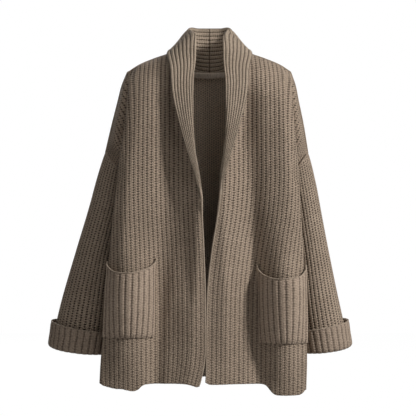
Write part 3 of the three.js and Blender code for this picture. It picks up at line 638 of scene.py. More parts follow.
# slant is how many rows a leg of a stitch climbs, gap where the furrow between ribs lies across them,
# bridge and hole how light the furrow's painted shade is between its dark holes and in them, low what
# hole, bridge and a painted shade over the whole surface become further down the garment and over which rows
plainKnit = {"slant": 0.5, "gap": (0.7, 1.0), "bridge": 0.8, "hole": 0.5, "strand": 0.3, "bump": 0.0006,
             "columns": 1.0, "speck": 0.2}
# deep is the painted shade colour of furrows, holes and the gaps between strands, wool the yarn itself
knitLooks = {
    "body": {
        "deep": (32, 22, 15), "wool": (168, 149, 130), "tip": (206, 190, 172), "slant": 0.8, "gap": (0.5, 0.78),
        "hole": 0.08, "strand": 0.44, "bump": 0.0014, "speck": 0.22,
        "low": {"hole": 0.3, "bridge": 0.66, "paintedShade": 1.0, "rows": (-50.0, 15.0)}},
    "sleeve": {
        "deep": (32, 23, 16), "wool": (172, 153, 134), "tip": (206, 190, 172), "slant": 0.8, "gap": (0.5, 0.78),
        "bridge": 0.76, "hole": 0.04, "strand": 0.46, "bump": 0.0015, "speck": 0.26},
    "cuff": {
        "deep": (52, 41, 32), "wool": (158, 140, 123), "tip": (182, 165, 150), "gap": (0.5, 1.0),
        "bridge": 0.5, "hole": 0.32, "strand": 0.16, "bump": 0.001},
    "pocket": {
        "deep": (52, 41, 32), "wool": (170, 151, 133), "tip": (186, 169, 153), "gap": (0.5, 1.0),
        "bridge": 0.46, "hole": 0.26, "strand": 0.18, "bump": 0.001, "speck": 0.22},
    "collar": {
        "deep": (42, 31, 23), "wool": (170, 153, 134), "tip": (204, 188, 170), "slant": 0.7, "gap": (0.58, 0.86),
        "bridge": 0.62, "hole": 0.06, "strand": 0.28, "bump": 0.0012},
    # the lining: its wool painted far paler than the outside, as painted light for what reaches inside, and low
    # paints it darker towards the bottom, as painted shade deep inside
    "inside": {
        "deep": (64, 52, 41), "wool": (226, 207, 187), "tip": (208, 192, 175), "slant": 0.7, "gap": (0.5, 0.9),
        "hole": 0.2, "strand": 0.45, "bump": 0.0012, "columns": 2.0,
        "low": {"hole": 0.2, "bridge": 0.8, "paintedShade": 0.42, "rows": (-14.0, 26.0)}},
    "tape": {"deep": (120, 102, 86), "wool": (250, 236, 220), "tip": (236, 220, 204)},
    # a dark cord's colour, painted as the shadow in the collar's centre back groove
    "grooveShade": {"deep": (30, 21, 14), "wool": (84, 70, 57), "tip": (110, 94, 80)},
    "seam": {"deep": (60, 48, 38), "wool": (168, 151, 133), "tip": (200, 184, 167)},
}


def knitMaterial(name, look):
    paint = Paint(name)
    place = paint.node("ShaderNodeUVMap", {"uv_map": "knit"})[0]
    u, v, _ = paint.node("ShaderNodeSeparateXYZ", {}, {0: place})
    real = paint.node("ShaderNodeTexCoord")[3]
    # yarn wanders a little from stitch to stitch
    (sideScale, sideways), (alongScale, along) = yarnLook["sideways"], yarnLook["along"]
    u = u + (paint.noise(real, sideScale, 1.0) - 0.5) * sideways
    v = v + (paint.noise(real, alongScale, 1.0) - 0.5) * along
    u = u * look["columns"]
    # every other column of stitches sits half a row lower
    v = v + paint.fract((u + 0.5) * 0.5).math("GREATER_THAN", 0.5) * 0.5
    across = paint.size(paint.fract(u) - 0.5) * 2
    strand = 1 - paint.size(paint.fract(v - across * look["slant"]) - 0.5) * 2
    stitch = paint.step(strand, 0.0, 0.7) * paint.step(across, 0.0, 0.22, 0.6, 1.0)
    gap = paint.step(across, *look["gap"])
    dots = paint.step(1 - paint.size(paint.fract(v + 0.25) - 0.5) * 2, *yarnLook["dots"])
    fibre = paint.noise(real, yarnLook["fibre"], 3.0)
    speck = paint.noise(real, yarnLook["speck"], 2.0)
    height = (1 - gap) * (stitch * 0.6 + 0.4) + gap * (0.7 - dots * 0.7) + fibre * yarnLook["fibreRise"]
    hole, bridge, paintedShade = look["hole"], look["bridge"], 1.0
    # further down the garment low changes hole and bridge and darkens the whole colour, which paints shade deep
    # inside the lining
    if "low" in look:
        low = look["low"]
        high = paint.step(v, *low["rows"])
        hole, bridge, paintedShade = (high * (value - low[key]) + low[key]
                              for key, value in (("hole", hole), ("bridge", bridge), ("paintedShade", paintedShade)))
    # painted shade: the furrow between ribs, its holes and the gaps between strands are coloured towards deep, for
    # the shadow that falls in them
    furrow = dots * (hole - bridge) + bridge
    rib = (stitch - 1) * look["strand"] + 1
    shade = gap * (furrow - rib) + rib
    shade = shade * (paint.step(speck, 0.3, 0.7) * look["speck"] * 2 + (1 - look["speck"])) * paintedShade
    colour = paint.blend(shade, (*linear(*look["deep"]), 1), (*linear(*look["wool"]), 1))
    # loose fibres catch the light, and large patches are a little darker
    glintLow, glintHigh, glintMost = yarnLook["glint"]
    glint = paint.step(fibre, glintLow, glintHigh, 0.0, glintMost) * shade
    colour = paint.blend(glint, colour, (*linear(*look["tip"]), 1))
    patchScale, patchMost, patchTone = yarnLook["patch"]
    patch = paint.step(paint.noise(real, patchScale, 2.0), 0.3, 0.7, 0.0, patchMost)
    colour = paint.blend(patch, colour, (*linear(*[c * patchTone for c in look["wool"]]), 1), "MULTIPLY")
    rough = paint.step(shade, 0.0, 1.0, *yarnLook["rough"])
    return paint.finish(colour, rough, height, look["bump"], yarnLook)


materials = {name: knitMaterial(name + "Knit", {**plainKnit, **look}) for name, look in knitLooks.items()}
print("materials made")


def dress(piece, nodes, look, area):
    # its two materials, and the solids it stands for are hidden
    piece.data.materials.append(materials[look])
    # rib looks the same from both sides on the collar, the cuffs and the pockets
    piece.data.materials.append(materials["inside" if look in ("body", "sleeve") else look])
    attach(piece, "root")
    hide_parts(*nodes)


def wobble(ribs, z, amount):
    # hand-made unevenness, the same every run
    return amount * (np.sin(ribs * 1.7 + z * 0.021) * np.sin(z * 0.013 + ribs * 0.31)
                     + 0.6 * np.sin(z * 0.043 + ribs * 2.3))


def ribbed(rise, furrow, ribs, sharp=2.6):
    # how far the cloth stands out along its ribs
    profile = ribProfile(ribs, sharp)
    return rise * profile - furrow * (1 - profile)


# the fronts, each from the opening round the side to the side seam
frontLook = {
    "perRib": 6, "armholeSteps": 26, "downSteps": 104, "stride": 3, "cut": (0.42, 0.84),
    # columns over which the ribs fade at the sewn side and at the plain front edge, and that edge's own rise
    "sewnFade": 6, "edgeFade": 7, "edgeRise": 0.6, "wobble": 0.16,
}


def panelShares(settings):
    # rows down a panel as shares of its height, closer at both ends of the armhole
    share = (body["armSeamZ"] - body["underarmZ"]) / (body["armSeamZ"] - body["hemLevel"])
    steps, downSteps = settings["armholeSteps"], settings["downSteps"]
    arm = share * (1 - np.cos(np.pi * np.arange(steps + 1) / steps)) / 2
    return np.concatenate([arm, share + (1 - share) * np.arange(1, downSteps + 1) / downSteps])


def sleeveAxis(half):
    # the way the sleeve leaves the body
    tilt = math.radians(half["sleeve"][0][2])
    return np.array([half["sign"] * math.sin(tilt), 0, -math.cos(tilt)])


def sewnNormals(half, points, normals, column):
    # at an armhole the edge lies in the plane of the sleeve's ring, below it the side seam stays level
    axis = sleeveAxis(half)
    for r in range(len(points)):
        z, n = points[r, column, 2], normals[r, column]
        if body["underarmZ"] + 1 < z <= body["armSeamZ"]:
            n = n - axis * n.dot(axis)
        else:
            n = n * (1, 0, 1)
        normals[r, column] = unit(n)


def levelShoulder(points, normals):
    # along the shoulder both panels meet edge to edge
    shoulder = np.abs(points[0, :, 0]) >= body["neckOut"] - 1
    normals[0, shoulder] = unit(normals[0, shoulder] * (1, 0, 1))


def makeFront(side):
    half, panel = halves[side], panels[side, -1]
    count = body["frontRibs"] * frontLook["perRib"] + 1
    ribs = np.linspace(0, body["frontRibs"], count)
    v = panelShares(frontLook)[:, None]
    top, bottom = panel.ribTop(ribs)[0], panel.hem(ribs)
    z = mix(top[None], bottom[None], v)
    points = relaxed(panel.point(np.broadcast_to(ribs, z.shape), z))
    normals = softened(points, gridNormals(points) * -half["sign"])
    sewnNormals(half, points, normals, count - 1)
    levelShoulder(points, normals)
    sewn = mix(0.5, 1, smooth((count - 1 - np.arange(count)) / frontLook["sewnFade"]))
    plainEdge = smooth((np.arange(count) - 1) / frontLook["edgeFade"])
    rise = ribbed(body["ribRise"] * sewn, body["furrow"], ribs)
    rise = mix(frontLook["edgeRise"], rise, plainEdge) * mix(0.3, 1, smooth(v / 0.02))
    rise = rise + wobble(ribs, z, frontLook["wobble"])
    piece = makeWall(f"front_{side}_knit", points, normals, rise, body["wall"], ribs,
                     levelRows(points, body["row"]), frontLook["stride"],
                     roll={"top": 0.1, "right": 0.1, "left": 0.7, "bottom": 0.7})
    dress(piece, [f"front_{side}"], "body", skinArea(points))
    return points


frontPoints = {side: makeFront(side) for side in halves}
print("fronts made")


# the back, in one piece
backLook = {"perRib": 5, "armholeSteps": 26, "downSteps": 96, "stride": 5, "sewnFade": 5, "wobble": 0.16,
            "cut": (0.68, 0.8)}


def makeBack():
    ribs = np.linspace(-body["backRibs"], body["backRibs"], body["backRibs"] * 2 * backLook["perRib"] + 1)
    v = panelShares(backLook)[:, None]
    sides = []
    for side in ("left", "right"):
        panel = panels[side, 1]
        mine = -ribs[ribs <= 0] if side == "left" else ribs[ribs > 0]
        z = mix(panel.ribTop(mine)[0][None], panel.hem(mine)[None], v)
        sides.append(panel.point(np.broadcast_to(mine, z.shape), z))
    points = relaxed(np.concatenate(sides, 1))
    normals = softened(points, gridNormals(points))
    sewnNormals(halves["left"], points, normals, 0)
    sewnNormals(halves["right"], points, normals, -1)
    levelShoulder(points, normals)
    near = np.minimum(np.arange(len(ribs)), len(ribs) - 1 - np.arange(len(ribs)))
    rise = ribbed(body["ribRise"] * mix(0.5, 1, smooth(near / backLook["sewnFade"])), body["furrow"], ribs)
    rise = rise * mix(0.3, 1, smooth(v / 0.02)) + wobble(ribs, points[..., 2], backLook["wobble"])
    piece = makeWall("back_knit", points, normals, rise, body["wall"], ribs + body["backRibs"],
                     levelRows(points, body["row"]), backLook["stride"],
                     roll={"top": 0.1, "right": 0.1, "left": 0.1, "bottom": 0.7})
    dress(piece, ["back"], "body", skinArea(points))
    return points


backPoints = makeBack()
print("back made")


# the sleeves, tubes set on at the dropped armhole
sleeveLook = {
    "ribs": 34, "perRib": 6, "steps": 78, "stride": 3, "gap": 0.4, "wall": 3.2, "rise": 1.3, "cut": (0.44, 0.47),
    # how far the front of the sleeve's end hangs below its middle, and where its ribs flatten under the cuff
    "droop": 6.0, "underCuff": (0.88, 0.06), "wobble": 0.16, "long": 470,
    # soft creases: turn from the outer side by the front, place down the sleeve, size, depth
    "creases": {
        "left": [(0.42, 0.16, 0.05, 0.1, -3.0), (0.3, 0.5, 0.05, 0.3, -2.2), (0.12, 0.42, 0.06, 0.35, 1.6)],
        "right": [(0.4, 0.16, 0.05, 0.1, -3.0), (0.28, 0.45, 0.05, 0.3, -2.0), (0.1, 0.55, 0.06, 0.3, 1.6)],
    },
}


def sleevePoint(half, turn, v, gap):
    x, z, tilt, wide, deep = np.moveaxis(glide(half["sleeve"], v), -1, 0)
    a, slope = turn * np.pi * 2, np.radians(tilt)
    across = wide * np.cos(a)
    out = x + across * np.cos(slope) + gap * np.sin(slope)
    up = z + across * np.sin(slope) - gap * np.cos(slope)
    up = up - sleeveLook["droop"] * smooth((v - 0.5) / 0.5) * np.sin(a)
    return np.stack([half["sign"] * out, body["seamY"] - deep * np.sin(a), up], -1)


def makeSleeve(side):
    half = halves[side]
    count = sleeveLook["ribs"] * sleeveLook["perRib"]
    turn = np.arange(count) / count
    ribs = turn * sleeveLook["ribs"]
    v = np.linspace(0, 1, sleeveLook["steps"] + 1)[:, None]
    points = sleevePoint(half, *np.broadcast_arrays(turn[None], v), gap=sleeveLook["gap"])
    normals = gridNormals(points, ring=True) * half["sign"]
    axis = sleeveAxis(half)
    normals[0] = unit(normals[0] - (normals[0] @ axis)[:, None] * axis)
    flatFrom, flatOver = sleeveLook["underCuff"]
    rise = ribbed(sleeveLook["rise"], body["furrow"], ribs) * smooth((v + 0.012) / 0.03)
    rise = rise * (1 - smooth((v - flatFrom) / flatOver)) + wobble(ribs, v * sleeveLook["long"], sleeveLook["wobble"])
    for at, down, wide, tall, depth in sleeveLook["creases"][side]:
        away = (turn[None] - at + 0.5) % 1 - 0.5
        points = points + normals * (depth * np.exp(-(away / wide) ** 2 - ((v - down) / tall) ** 2))[..., None]
    piece = makeWall(f"sleeve_{side}_knit", points, normals, rise, sleeveLook["wall"], ribs,
                     stitchRows(points, body["row"]), sleeveLook["stride"],
                     ring=True, roll={"top": 0.1, "bottom": 0.5})
    dress(piece, [f"sleeve_{side}"], "sleeve", skinArea(points, True))


# the cuffs, turned back over the sleeve ends
cuffLook = {
    "ribs": 30, "perRib": 6, "steps": 30, "stride": 3, "gap": 0.8, "wall": 2.8, "rise": 1.7, "furrow": 0.5,
    "sharp": 3.4, "wobble": 0.15, "tall": 90, "sleeveLength": 440.0, "cut": (0.5, 0.115),
    # out from the sleeve and up it, from inside the fold to the free rim
    "profile": [(-3, -3.8), (3, -5.2), (8, 0), (9.4, 13), (10.4, 30), (13, 50)],
    # share of the way up where the ribs begin past the fold, and where they fade at the rim
    "ribsFrom": (0.1, 0.25), "rim": (0.93, 0.06, 0.75),
}


def cuffPoint(half, turn, v):
    out, up = np.moveaxis(glide(cuffLook["profile"], v), -1, 0)
    at = 1 - np.maximum(up, 0) / cuffLook["sleeveLength"]
    p = sleevePoint(half, turn, at, gap=cuffLook["gap"])
    a = turn * np.pi * 2
    slope = np.radians(glide(half["sleeve"], at)[..., 2])
    x, below = np.cos(a) * out, np.minimum(up, 0)
    return p + np.stack([half["sign"] * (x * np.cos(slope) - below * np.sin(slope)), -np.sin(a) * out,
                         x * np.sin(slope) + below * np.cos(slope)], -1)


def makeCuff(side):
    half = halves[side]
    count = cuffLook["ribs"] * cuffLook["perRib"]
    turn = np.arange(count) / count
    ribs = turn * cuffLook["ribs"]
    v = np.linspace(0, 1, cuffLook["steps"] + 1)[:, None]
    points = cuffPoint(half, *np.broadcast_arrays(turn[None], v))
    normals = gridNormals(points, ring=True) * -half["sign"]
    (low, grow), (rim, fade, loss) = cuffLook["ribsFrom"], cuffLook["rim"]
    rise = ribbed(cuffLook["rise"], cuffLook["furrow"], ribs, cuffLook["sharp"]) * smooth((v - low) / grow)
    rise = rise * (1 - loss * smooth((v - rim) / fade)) + wobble(ribs, v * cuffLook["tall"], cuffLook["wobble"])
    piece = makeWall(f"cuff_{side}_knit", points, normals, rise, cuffLook["wall"], ribs,
                     stitchRows(points, body["row"]), cuffLook["stride"],
                     ring=True, roll={"top": 0.6, "bottom": 0.9})
    dress(piece, [f"cuff_{side}"], "cuff", skinArea(points, True))
    return points, normals


cuffGrids = {}
for side in halves:
    makeSleeve(side)
    cuffGrids[side] = makeCuff(side)
print("sleeves and cuffs made")


# the pockets, made from the front's own points moved out
pocketLook = {
    "ribs": 11, "perRib": 8, "steps": 46, "stride": 4, "rise": 1.7, "furrow": 0.5, "sharp": 3.2, "cut": (0.16, 0.185),
    # the mouth's curve, how the patch fills out, and how it thins and sinks at its sewn edges
    "mouth": 0.6, "puff": 0.8, "sewn": 0.05, "wall": 2.8, "thin": 1.0, "sideSink": 0.1, "footSink": (1.6, 0.05),
    "rim": 0.4, "wobble": 0.12, "frontOf": -60,
}


def makePocket(side):
    half, panel, p = halves[side], panels[side, -1], halves[side]["pocket"]
    count = pocketLook["ribs"] * pocketLook["perRib"] + 1
    u = np.linspace(0, 1, count)[None]
    v = np.linspace(0, 1, pocketLook["steps"] + 1)[:, None]
    top = mix(p["innerTop"], p["outerTop"], u) - p["sag"] * np.sin(np.pi * u).clip(0) ** pocketLook["mouth"]
    z = mix(top, p["bottom"], v)
    # the rib of the front that lies under the pocket's inner edge
    low, high = np.zeros_like(z), np.full_like(z, float(body["frontRibs"]))
    for _ in range(24):
        middle = (low + high) / 2
        probe = panel.point(middle, z)
        inside = (half["sign"] * probe[..., 0] < p["inner"]) & (probe[..., 1] < pocketLook["frontOf"])
        low, high = np.where(inside, middle, low), np.where(inside, high, middle)
    level, rest = np.interp(z, panel.z, panel.level), np.interp(z, panel.z, panel.rest)
    last = np.interp(z, panel.z, panel.last)
    ribsOut = level + p["wrap"] / rest * (last - level)
    bodyRibs = mix((low + high) / 2, ribsOut, u)
    normals = panel.normal(bodyRibs, z)
    puff = np.sin(np.pi * u).clip(0) ** pocketLook["puff"] * (1 - v ** 3) * p["swell"]
    far = body["ribRise"] + p["gap"] + body["wall"] + puff
    # the sewn edges are drawn down into the front
    drawn = 1 - smooth(np.minimum(np.minimum(u, 1 - u), 1 - v) / pocketLook["sewn"])
    (inner, outer), sideOver, (foot, footOver) = p["sink"], pocketLook["sideSink"], pocketLook["footSink"]
    sunk = np.maximum(inner * (1 - smooth(u / sideOver)), outer * (1 - smooth((1 - u) / sideOver)))
    sunk = np.maximum(sunk * smooth(v / 0.12), foot * (1 - smooth((1 - v) / footOver)))
    points = panel.point(bodyRibs, z) + normals * (far - sunk)[..., None]
    ribs = np.linspace(0, pocketLook["ribs"], count)
    rise = ribbed(pocketLook["rise"], pocketLook["furrow"], ribs, pocketLook["sharp"]) * (1 - 0.7 * drawn)
    rise = rise * smooth((v - 0.012) / 0.03) + pocketLook["rim"] * (1 - smooth(v / 0.04))
    rise = rise + wobble(ribs, z, pocketLook["wobble"])
    wall = pocketLook["wall"] - pocketLook["thin"] * drawn
    piece = makeWall(f"pocket_{side}_knit", points, normals, rise, wall, ribs,
                     stitchRows(points, body["row"]), pocketLook["stride"],
                     roll={"top": 0.9, "bottom": 0.3, "left": 0.3, "right": 0.3})
    dress(piece, [f"pocket_{side}"], "pocket", skinArea(points))
    return points, normals


pocketGrids = {side: makePocket(side) for side in halves}
print("pockets made")


# the collar, in two halves joined at the centre back
collarLook = {
    "ribs": 12, "perRib": 8, "steps": 126, "stride": 4, "wall": 3.2, "rise": 1.6, "furrow": 0.5, "cut": (0.13, 0.5),
    # ribs are shallower at the nape and narrow towards the tip
    "nape": (0.45, 0.08, 0.12), "tip": (0.75, 0.72, 0.28), "wobble": 0.1, "long": 500, "rowShare": 0.92,
}
# from the centre back to the tip: sewn edge, roll and free edge
collarStations = [
    (0, 76.6, 4.4, 0, 83, 62, 0, 90, 117), (28, 72.2, 8.6, 27, 80, 64, 26, 88, 117),
    (48, 62, 23.6, 44.5, 66, 78, 49, 74, 116), (62, 36, 46.5, 48, 38, 106, 72, 45, 84),
    (70, 5, 59, 41, 4, 105, 95, 12, 57), (69, -14, 53.5, 35, -24, 94, 100, -14, 52),
    (67, -38, 45, 33.5, -52, 66, 98, -47, 38), (63, -60, 29.5, 34, -76, 28, 91, -82, 10),
    (58.7, -88, -10, 38, -104, -18, 87.5, -109, -37), (54, -100, -52, 39.5, -119, -62, 81, -115, -75),
    (48.6, -105.5, -97, 40, -126, -108, 71, -122, -113), (42.5, -109.5, -137, 38, -129, -148, 60, -128, -153),
    (33.5, -113.8, -182, 33.2, -130.5, -194, 46.5, -130.5, -197),
    (23.3, -120.4, -230, 25.4, -131, -240, 33, -131, -241),
    (15.2, -125, -286, 17, -133, -288, 21.5, -133.5, -288),
]


def collarPoint(half, b, v):
    p = glide(collarStations, v)
    tip = half["edgeTip"] - halves["left"]["edgeTip"]
    w = (2 * (b - 0.5) * (b - 1), -4 * b * (b - 1), 2 * b * (b - 0.5))
    x, y, z = (w[0] * p[..., i] + w[1] * p[..., i + 3] + w[2] * p[..., i + 6] for i in range(3))
    x = x + tip * smooth((v - 0.9) / 0.1)
    return np.stack([half["sign"] * (x + 0.05), y, z], -1)


def makeCollar(side):
    half = halves[side]
    count = collarLook["ribs"] * collarLook["perRib"] + 1
    v = np.linspace(0, 1, collarLook["steps"] + 1)[:, None]
    fine = np.linspace(0, 1, 41)
    spans = np.diff(collarPoint(half, *np.broadcast_arrays(fine[None], v)), axis=1)
    far = np.concatenate([np.zeros((len(v), 1)), np.cumsum(np.linalg.norm(spans, axis=-1), 1)], 1)
    b = np.array([np.interp(np.linspace(0, row[-1], count), row, fine) for row in far])
    points = collarPoint(half, *np.broadcast_arrays(b, v))
    normals = gridNormals(points) * -half["sign"]
    normals[0] = unit(normals[0] * (0, 1, 1))
    ribs = np.linspace(0, collarLook["ribs"], count)
    rise = ribbed(collarLook["rise"], collarLook["furrow"], ribs)
    (least, napeAt, napeOver), (loss, tipAt, tipOver) = collarLook["nape"], collarLook["tip"]
    narrow = mix(least, 1, smooth((v - napeAt) / napeOver)) * (1 - loss * smooth((v - tipAt) / tipOver))
    edges = smooth((np.arange(count) + 2) / 8) * mix(0.5, 1, smooth((count - 1 - np.arange(count)) / 4))
    rise = rise * narrow * edges + wobble(ribs, v * collarLook["long"], collarLook["wobble"])
    piece = makeWall(f"collar_{side}_knit", points, normals, rise, collarLook["wall"], ribs,
                     stitchRows(points, body["row"] * collarLook["rowShare"]), collarLook["stride"],
                     roll={"top": 0.05, "bottom": 0.6, "left": 0.2, "right": 0.7})
    dress(piece, [f"collar_{side}"], "collar", skinArea(points))
    return points, normals


collarGrids = {side: makeCollar(side) for side in halves}
print("collar made")


# the tape over the back neck seam, inside
tapeLook = {
    "level": 5.5, "reach": 45.0, "tall": 12.0, "above": 4.0, "thick": 1.6, "gap": 1.4, "cut": (0.1, 0.013),
    "columns": 91, "rows": 13, "ribs": 30, "row": 4.0, "stride": 3, "crown": 0.35, "cords": 0.25, "follow": 0.3,
}


def makeTape():
    x = np.linspace(-tapeLook["reach"], tapeLook["reach"], tapeLook["columns"])[None]
    v = np.linspace(0, 1, tapeLook["rows"])[:, None]
    seam = tapeLook["level"] + tapeLook["follow"] * readTable(*zip(*backNeck), np.abs(x))
    z = seam + tapeLook["above"] - v * tapeLook["tall"]
    x = np.broadcast_to(x, z.shape)
    p, n = np.empty(z.shape + (3,)), np.empty(z.shape + (3,))
    for side in halves:
        mine = x < 0 if side == "left" else x >= 0
        ribs = np.abs(x[mine]) * body["backFirst"] / halves[side]["rows"][0][6]
        p[mine] = panels[side, 1].point(ribs, z[mine])
        n[mine] = panels[side, 1].normal(ribs, z[mine])
    p[..., 0] = x
    points = p - n * (body["wall"] + tapeLook["gap"] + tapeLook["thick"])
    normals = -gridNormals(points)
    rise = tapeLook["crown"] * np.sin(np.pi * v) + tapeLook["cords"] * np.abs(np.sin(np.pi * v * 3)) + 0 * x
    ribs = np.linspace(0, tapeLook["ribs"], tapeLook["columns"])
    piece = makeWall("neck_tape_knit", points, normals, rise, tapeLook["thick"], ribs,
                     stitchRows(points, tapeLook["row"]), tapeLook["stride"])
    dress(piece, ["neck_band"], "tape", skinArea(points))


makeTape()
print("neck tape made")


# the seams: a soft ridge of linked loops closes each join
seamLook = {
    "row": 4.0, "around": 10, "swell": 0.12, "step": 2.0, "rimStep": 1.5, "edgeFrom": -322.0,
    # half width, half height and how far the cord sinks into the cloth
    "shoulder": (1.5, 1.5, 0.9), "armhole": (2.3, 1.9, 0.9), "side": (1.5, 1.5, 1.0), "neck": (1.5, 1.7, 1.6),
    "pocketRim": (1.5, 2.0, 0.5), "cuffRim": (1.5, 1.9, 0.7), "backCollar": (1.1, 1.1, -0.3),
    # the front edge by height and thickness
    "edge": ([-345, -282, -262], [2.2, 3.1, 1.4]), "edgeRounds": 6,
}


def pathLength(path):
    return np.concatenate([[0], np.cumsum(np.linalg.norm(np.diff(path, axis=0), axis=1))])


def makeSeam(name, path, wide, tall, normals, look):
    # a flattened tube along a path, its height along the given normals
    path, count = np.asarray(path, float), seamLook["around"]
    way = unit(np.gradient(path, axis=0))
    normals = unit(normals - way * (normals * way).sum(-1, keepdims=True))
    side = np.cross(way, normals)
    around = np.arange(count) / count * np.pi * 2
    loops = pathLength(path) / seamLook["row"]
    swell = 1 + seamLook["swell"] * np.sin(loops * np.pi * 2)
    verts = (path[:, None] + side[:, None] * np.cos(around)[None, :, None] * (wide * swell)[:, None, None]
             + normals[:, None] * np.sin(around)[None, :, None] * (tall * swell)[:, None, None])
    n, turn = len(path), count + 1
    i, j = np.meshgrid(np.arange(n - 1), np.arange(count), indexing="ij")
    quads = [i * count + j, i * count + (j + 1) % count, (i + 1) * count + (j + 1) % count, (i + 1) * count + j]
    uvQuads = [i * turn + j, i * turn + j + 1, (i + 1) * turn + j + 1, (i + 1) * turn + j]
    quads, uvQuads = (np.stack(corners, -1).reshape(-1, 4) for corners in (quads, uvQuads))
    uvs = np.stack(np.broadcast_arrays(np.arange(turn)[None] / count * 2, loops[:, None]), -1).reshape(-1, 2)
    tris, triUvs = [], []
    for start, turned in ((0, True), (n - 1, False)):
        for m in range(1, count - 1):
            for faces, size in ((tris, count), (triUvs, turn)):
                ids = [start * size, start * size + m, start * size + m + 1]
                faces.append(ids[::-1] if turned else ids)
    piece = finishMesh(name, verts.reshape(-1, 3), quads, uvQuads, np.array(tris), np.array(triUvs), uvs)
    piece.data.materials.append(materials[look])
    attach(piece, "root")


def resample(path, step, *others):
    # even steps along a path, with other rows of vectors carried along
    path = np.asarray(path, float)
    far = pathLength(path)
    s = np.linspace(0, far[-1], max(int(far[-1] / step), 4) + 1)
    made = [np.stack([np.interp(s, far, rows[:, i]) for i in range(3)], -1) for rows in (path, *others)]
    return made if others else made[0]


for side, half in halves.items():
    sign, step = half["sign"], seamLook["step"]
    front = frontPoints[side]
    # shoulder and over-arm seam
    wide, tall, sink = seamLook["shoulder"]
    top = front[0][np.abs(front[0, :, 0]) >= body["neckOut"] - 2]
    path = resample(top + (0, body["seamGap"] / 2, 0), step)
    up = np.cross(unit(np.gradient(path, axis=0)), (0, 1, 0)) * -sign
    makeSeam(f"seam_shoulder_{side}", path - up * sink, wide, tall, up, "seam")
    # armhole
    wide, tall, sink = seamLook["armhole"]
    turn = np.linspace(0, 1, 161)
    ring = sleevePoint(half, turn, np.zeros(161), gap=0.2)
    outward = unit(ring - np.array([sign * half["sleeve"][0][0], body["seamY"], half["sleeve"][0][1]]))
    makeSeam(f"seam_armhole_{side}", ring - outward * sink, wide, tall, outward, "sleeve")
    # side seam
    wide, tall, sink = seamLook["side"]
    low = front[front[:, -1, 2] <= body["underarmZ"] + 0.5][:, -1] + (0, body["seamGap"] / 2, 0)
    path = resample(low, step)
    out = np.broadcast_to(np.array([sign, 0.0, 0.0]), path.shape)
    makeSeam(f"seam_side_{side}", path - out * sink, wide, tall, out, "seam")
    # neckline: where the collar is sewn on
    wide, tall, sink = seamLook["neck"]
    collarEdge, collarNormal = (grid[:, 0] for grid in collarGrids[side])
    path, facing = resample(collarEdge - collarNormal * sink, step, collarNormal)
    makeSeam(f"seam_neck_{side}", path, wide, tall, facing, "collar")
    # the collar's tip narrows into the rolled edge of the front
    tip = collarPoint(half, np.full(4, 0.62), np.array([0.94, 0.96, 0.98, 1.0]))
    edge = front[front[:, 0, 2] < seamLook["edgeFrom"]][:, 0] + (0, 0.4, 0)
    edge[:, 0] -= sign * 0.4
    path = resample(np.concatenate([tip, edge]), step)
    for _ in range(seamLook["edgeRounds"]):
        path[1:-1] = (path[:-2] + path[1:-1] + path[2:]) / 3
    thick = np.interp(path[:, 2], *seamLook["edge"])
    ahead = np.broadcast_to(np.array([0.0, -1.0, 0.0]), path.shape)
    makeSeam(f"edge_front_{side}", path, thick, thick, ahead, "seam")
    # rolled rims of the pocket mouth and the cuff
    wide, tall, sink = seamLook["pocketRim"]
    rim, facing = (grid[0] for grid in pocketGrids[side])
    path, facing = resample(rim - facing * sink, seamLook["rimStep"], facing)
    makeSeam(f"rim_pocket_{side}", path, wide, tall, facing, "seam")
    wide, tall, sink = seamLook["cuffRim"]
    rim, facing = (np.append(grid[-1], grid[-1][:2], 0) for grid in cuffGrids[side])
    path, facing = resample(rim - facing * sink, step, facing)
    makeSeam(f"rim_cuff_{side}", path, wide, tall, facing, "seam")

# centre back seam of the collar, a dark cord that stands just clear of the cloth, painted dark as the shadow in the
# groove between the halves
wide, tall, sink = seamLook["backCollar"]
middle, facing = ((collarGrids["left"][k][0] + collarGrids["right"][k][0]) / 2 for k in (0, 1))
makeSeam("seam_collar_back", middle[2:-1] - facing[2:-1] * sink, wide, tall, facing[2:-1], "grooveShade")
print("seams made")


# camera, floor and light
cameraLook = {"x": -0.0035, "y": -4.5, "z": -0.3123, "wide": 0.9768, "sensor": 36.0}
camera = bpy.data.cameras.new("camera")
camera.sensor_width = cameraLook["sensor"]
camera.lens = cameraLook["sensor"] * -cameraLook["y"] / cameraLook["wide"]
cameraObject = bpy.data.objects.new("camera", camera)
cameraObject.location = (cameraLook["x"], cameraLook["y"], cameraLook["z"])
cameraObject.rotation_euler = (math.pi / 2, 0, 0)
bpy.context.scene.collection.objects.link(cameraObject)
bpy.context.scene.camera = cameraObject

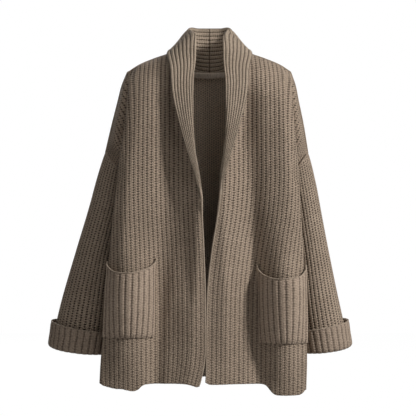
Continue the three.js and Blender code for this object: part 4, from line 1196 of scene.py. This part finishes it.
floorLook = {"y": 1.0, "z": -0.9, "size": 7.0, "colour": (0.42, 0.42, 0.42), "glow": 1.02, "seen": 0.97}
floorMesh = bpy.data.meshes.new("floor")
r = floorLook["size"] / 2
floorMesh.from_pydata([(-r, -r, 0), (r, -r, 0), (r, r, 0), (-r, r, 0)], [], [(0, 1, 2, 3)])
floorPiece = bpy.data.objects.new("floor", floorMesh)
floorPiece.location = (0, floorLook["y"], floorLook["z"])
bpy.context.scene.collection.objects.link(floorPiece)
floorPaint = Paint("paleFloor")
floorSeen = floorPaint.node("ShaderNodeLightPath")[0]
floorLit = floorPaint.node("ShaderNodeBsdfDiffuse", {}, {"Color": (*floorLook["colour"], 1)})[0]
floorGlow = {"Color": (1, 1, 1, 1), "Strength": floorLook["glow"]}
floorWhite = floorPaint.node("ShaderNodeEmission", {}, floorGlow)[0]
floorShares = {0: floorSeen * floorLook["seen"], 1: floorLit, 2: floorWhite}
floorBoth = floorPaint.node("ShaderNodeMixShader", {}, floorShares)[0]
floorPaint.node("ShaderNodeOutputMaterial", {}, {"Surface": floorBoth})
floorMesh.materials.append(floorPaint.material)

# the key comes low from the right, so that ribs and folds throw their shade to the left
lightLook = {
    "key": {"at": (3.5, -2.1, 1.9), "size": 0.8, "power": 214.0},
    "fill": {"at": (-2.6, -3.8, 0.6), "size": 1.6, "power": 15.0},
    "top": {"at": (0.5, -1.7, 2.5), "size": 0.9, "power": 16.0},
    "neck": {"at": (-0.5, -1.4, 1.3), "size": 0.4, "power": 2.5},
    "back": {"at": (-1.2, 3.6, 1.0), "size": 1.6, "power": 90.0},
}
lightAim = (0, 0, -0.3)
for name, light in lightLook.items():
    lamp = bpy.data.lights.new(name, "AREA")
    lamp.energy, lamp.size = light["power"], light["size"]
    lampObject = bpy.data.objects.new(name, lamp)
    lampObject.location = light["at"]
    aim = np.array(lightAim) - np.array(light["at"])
    flatWay = math.hypot(aim[0], aim[1])
    lampObject.rotation_euler = (math.atan2(flatWay, -aim[2]), 0, math.atan2(-aim[0], aim[1]))
    bpy.context.scene.collection.objects.link(lampObject)

# the world lights softly and is seen as white
worldLook = {"lit": ((1, 0.99, 0.98, 1), 0.05), "seen": ((1, 1, 1, 1), 1.0)}
world = bpy.data.worlds.new("softWhite")
world.use_nodes = True
bpy.context.scene.world = world
tree = world.node_tree
tree.nodes.clear()
rays, both, worldOut = (tree.nodes.new("ShaderNode" + kind) for kind in ("LightPath", "MixShader", "OutputWorld"))
tree.links.new(rays.outputs["Is Camera Ray"], both.inputs[0])
for k, (colour, strength) in enumerate(worldLook.values()):
    glow = tree.nodes.new("ShaderNodeBackground")
    glow.inputs[0].default_value, glow.inputs[1].default_value = colour, strength
    tree.links.new(glow.outputs[0], both.inputs[k + 1])
tree.links.new(both.outputs[0], worldOut.inputs[0])
bpy.context.scene.view_settings.view_transform = "Standard"
print("camera, floor and light set")
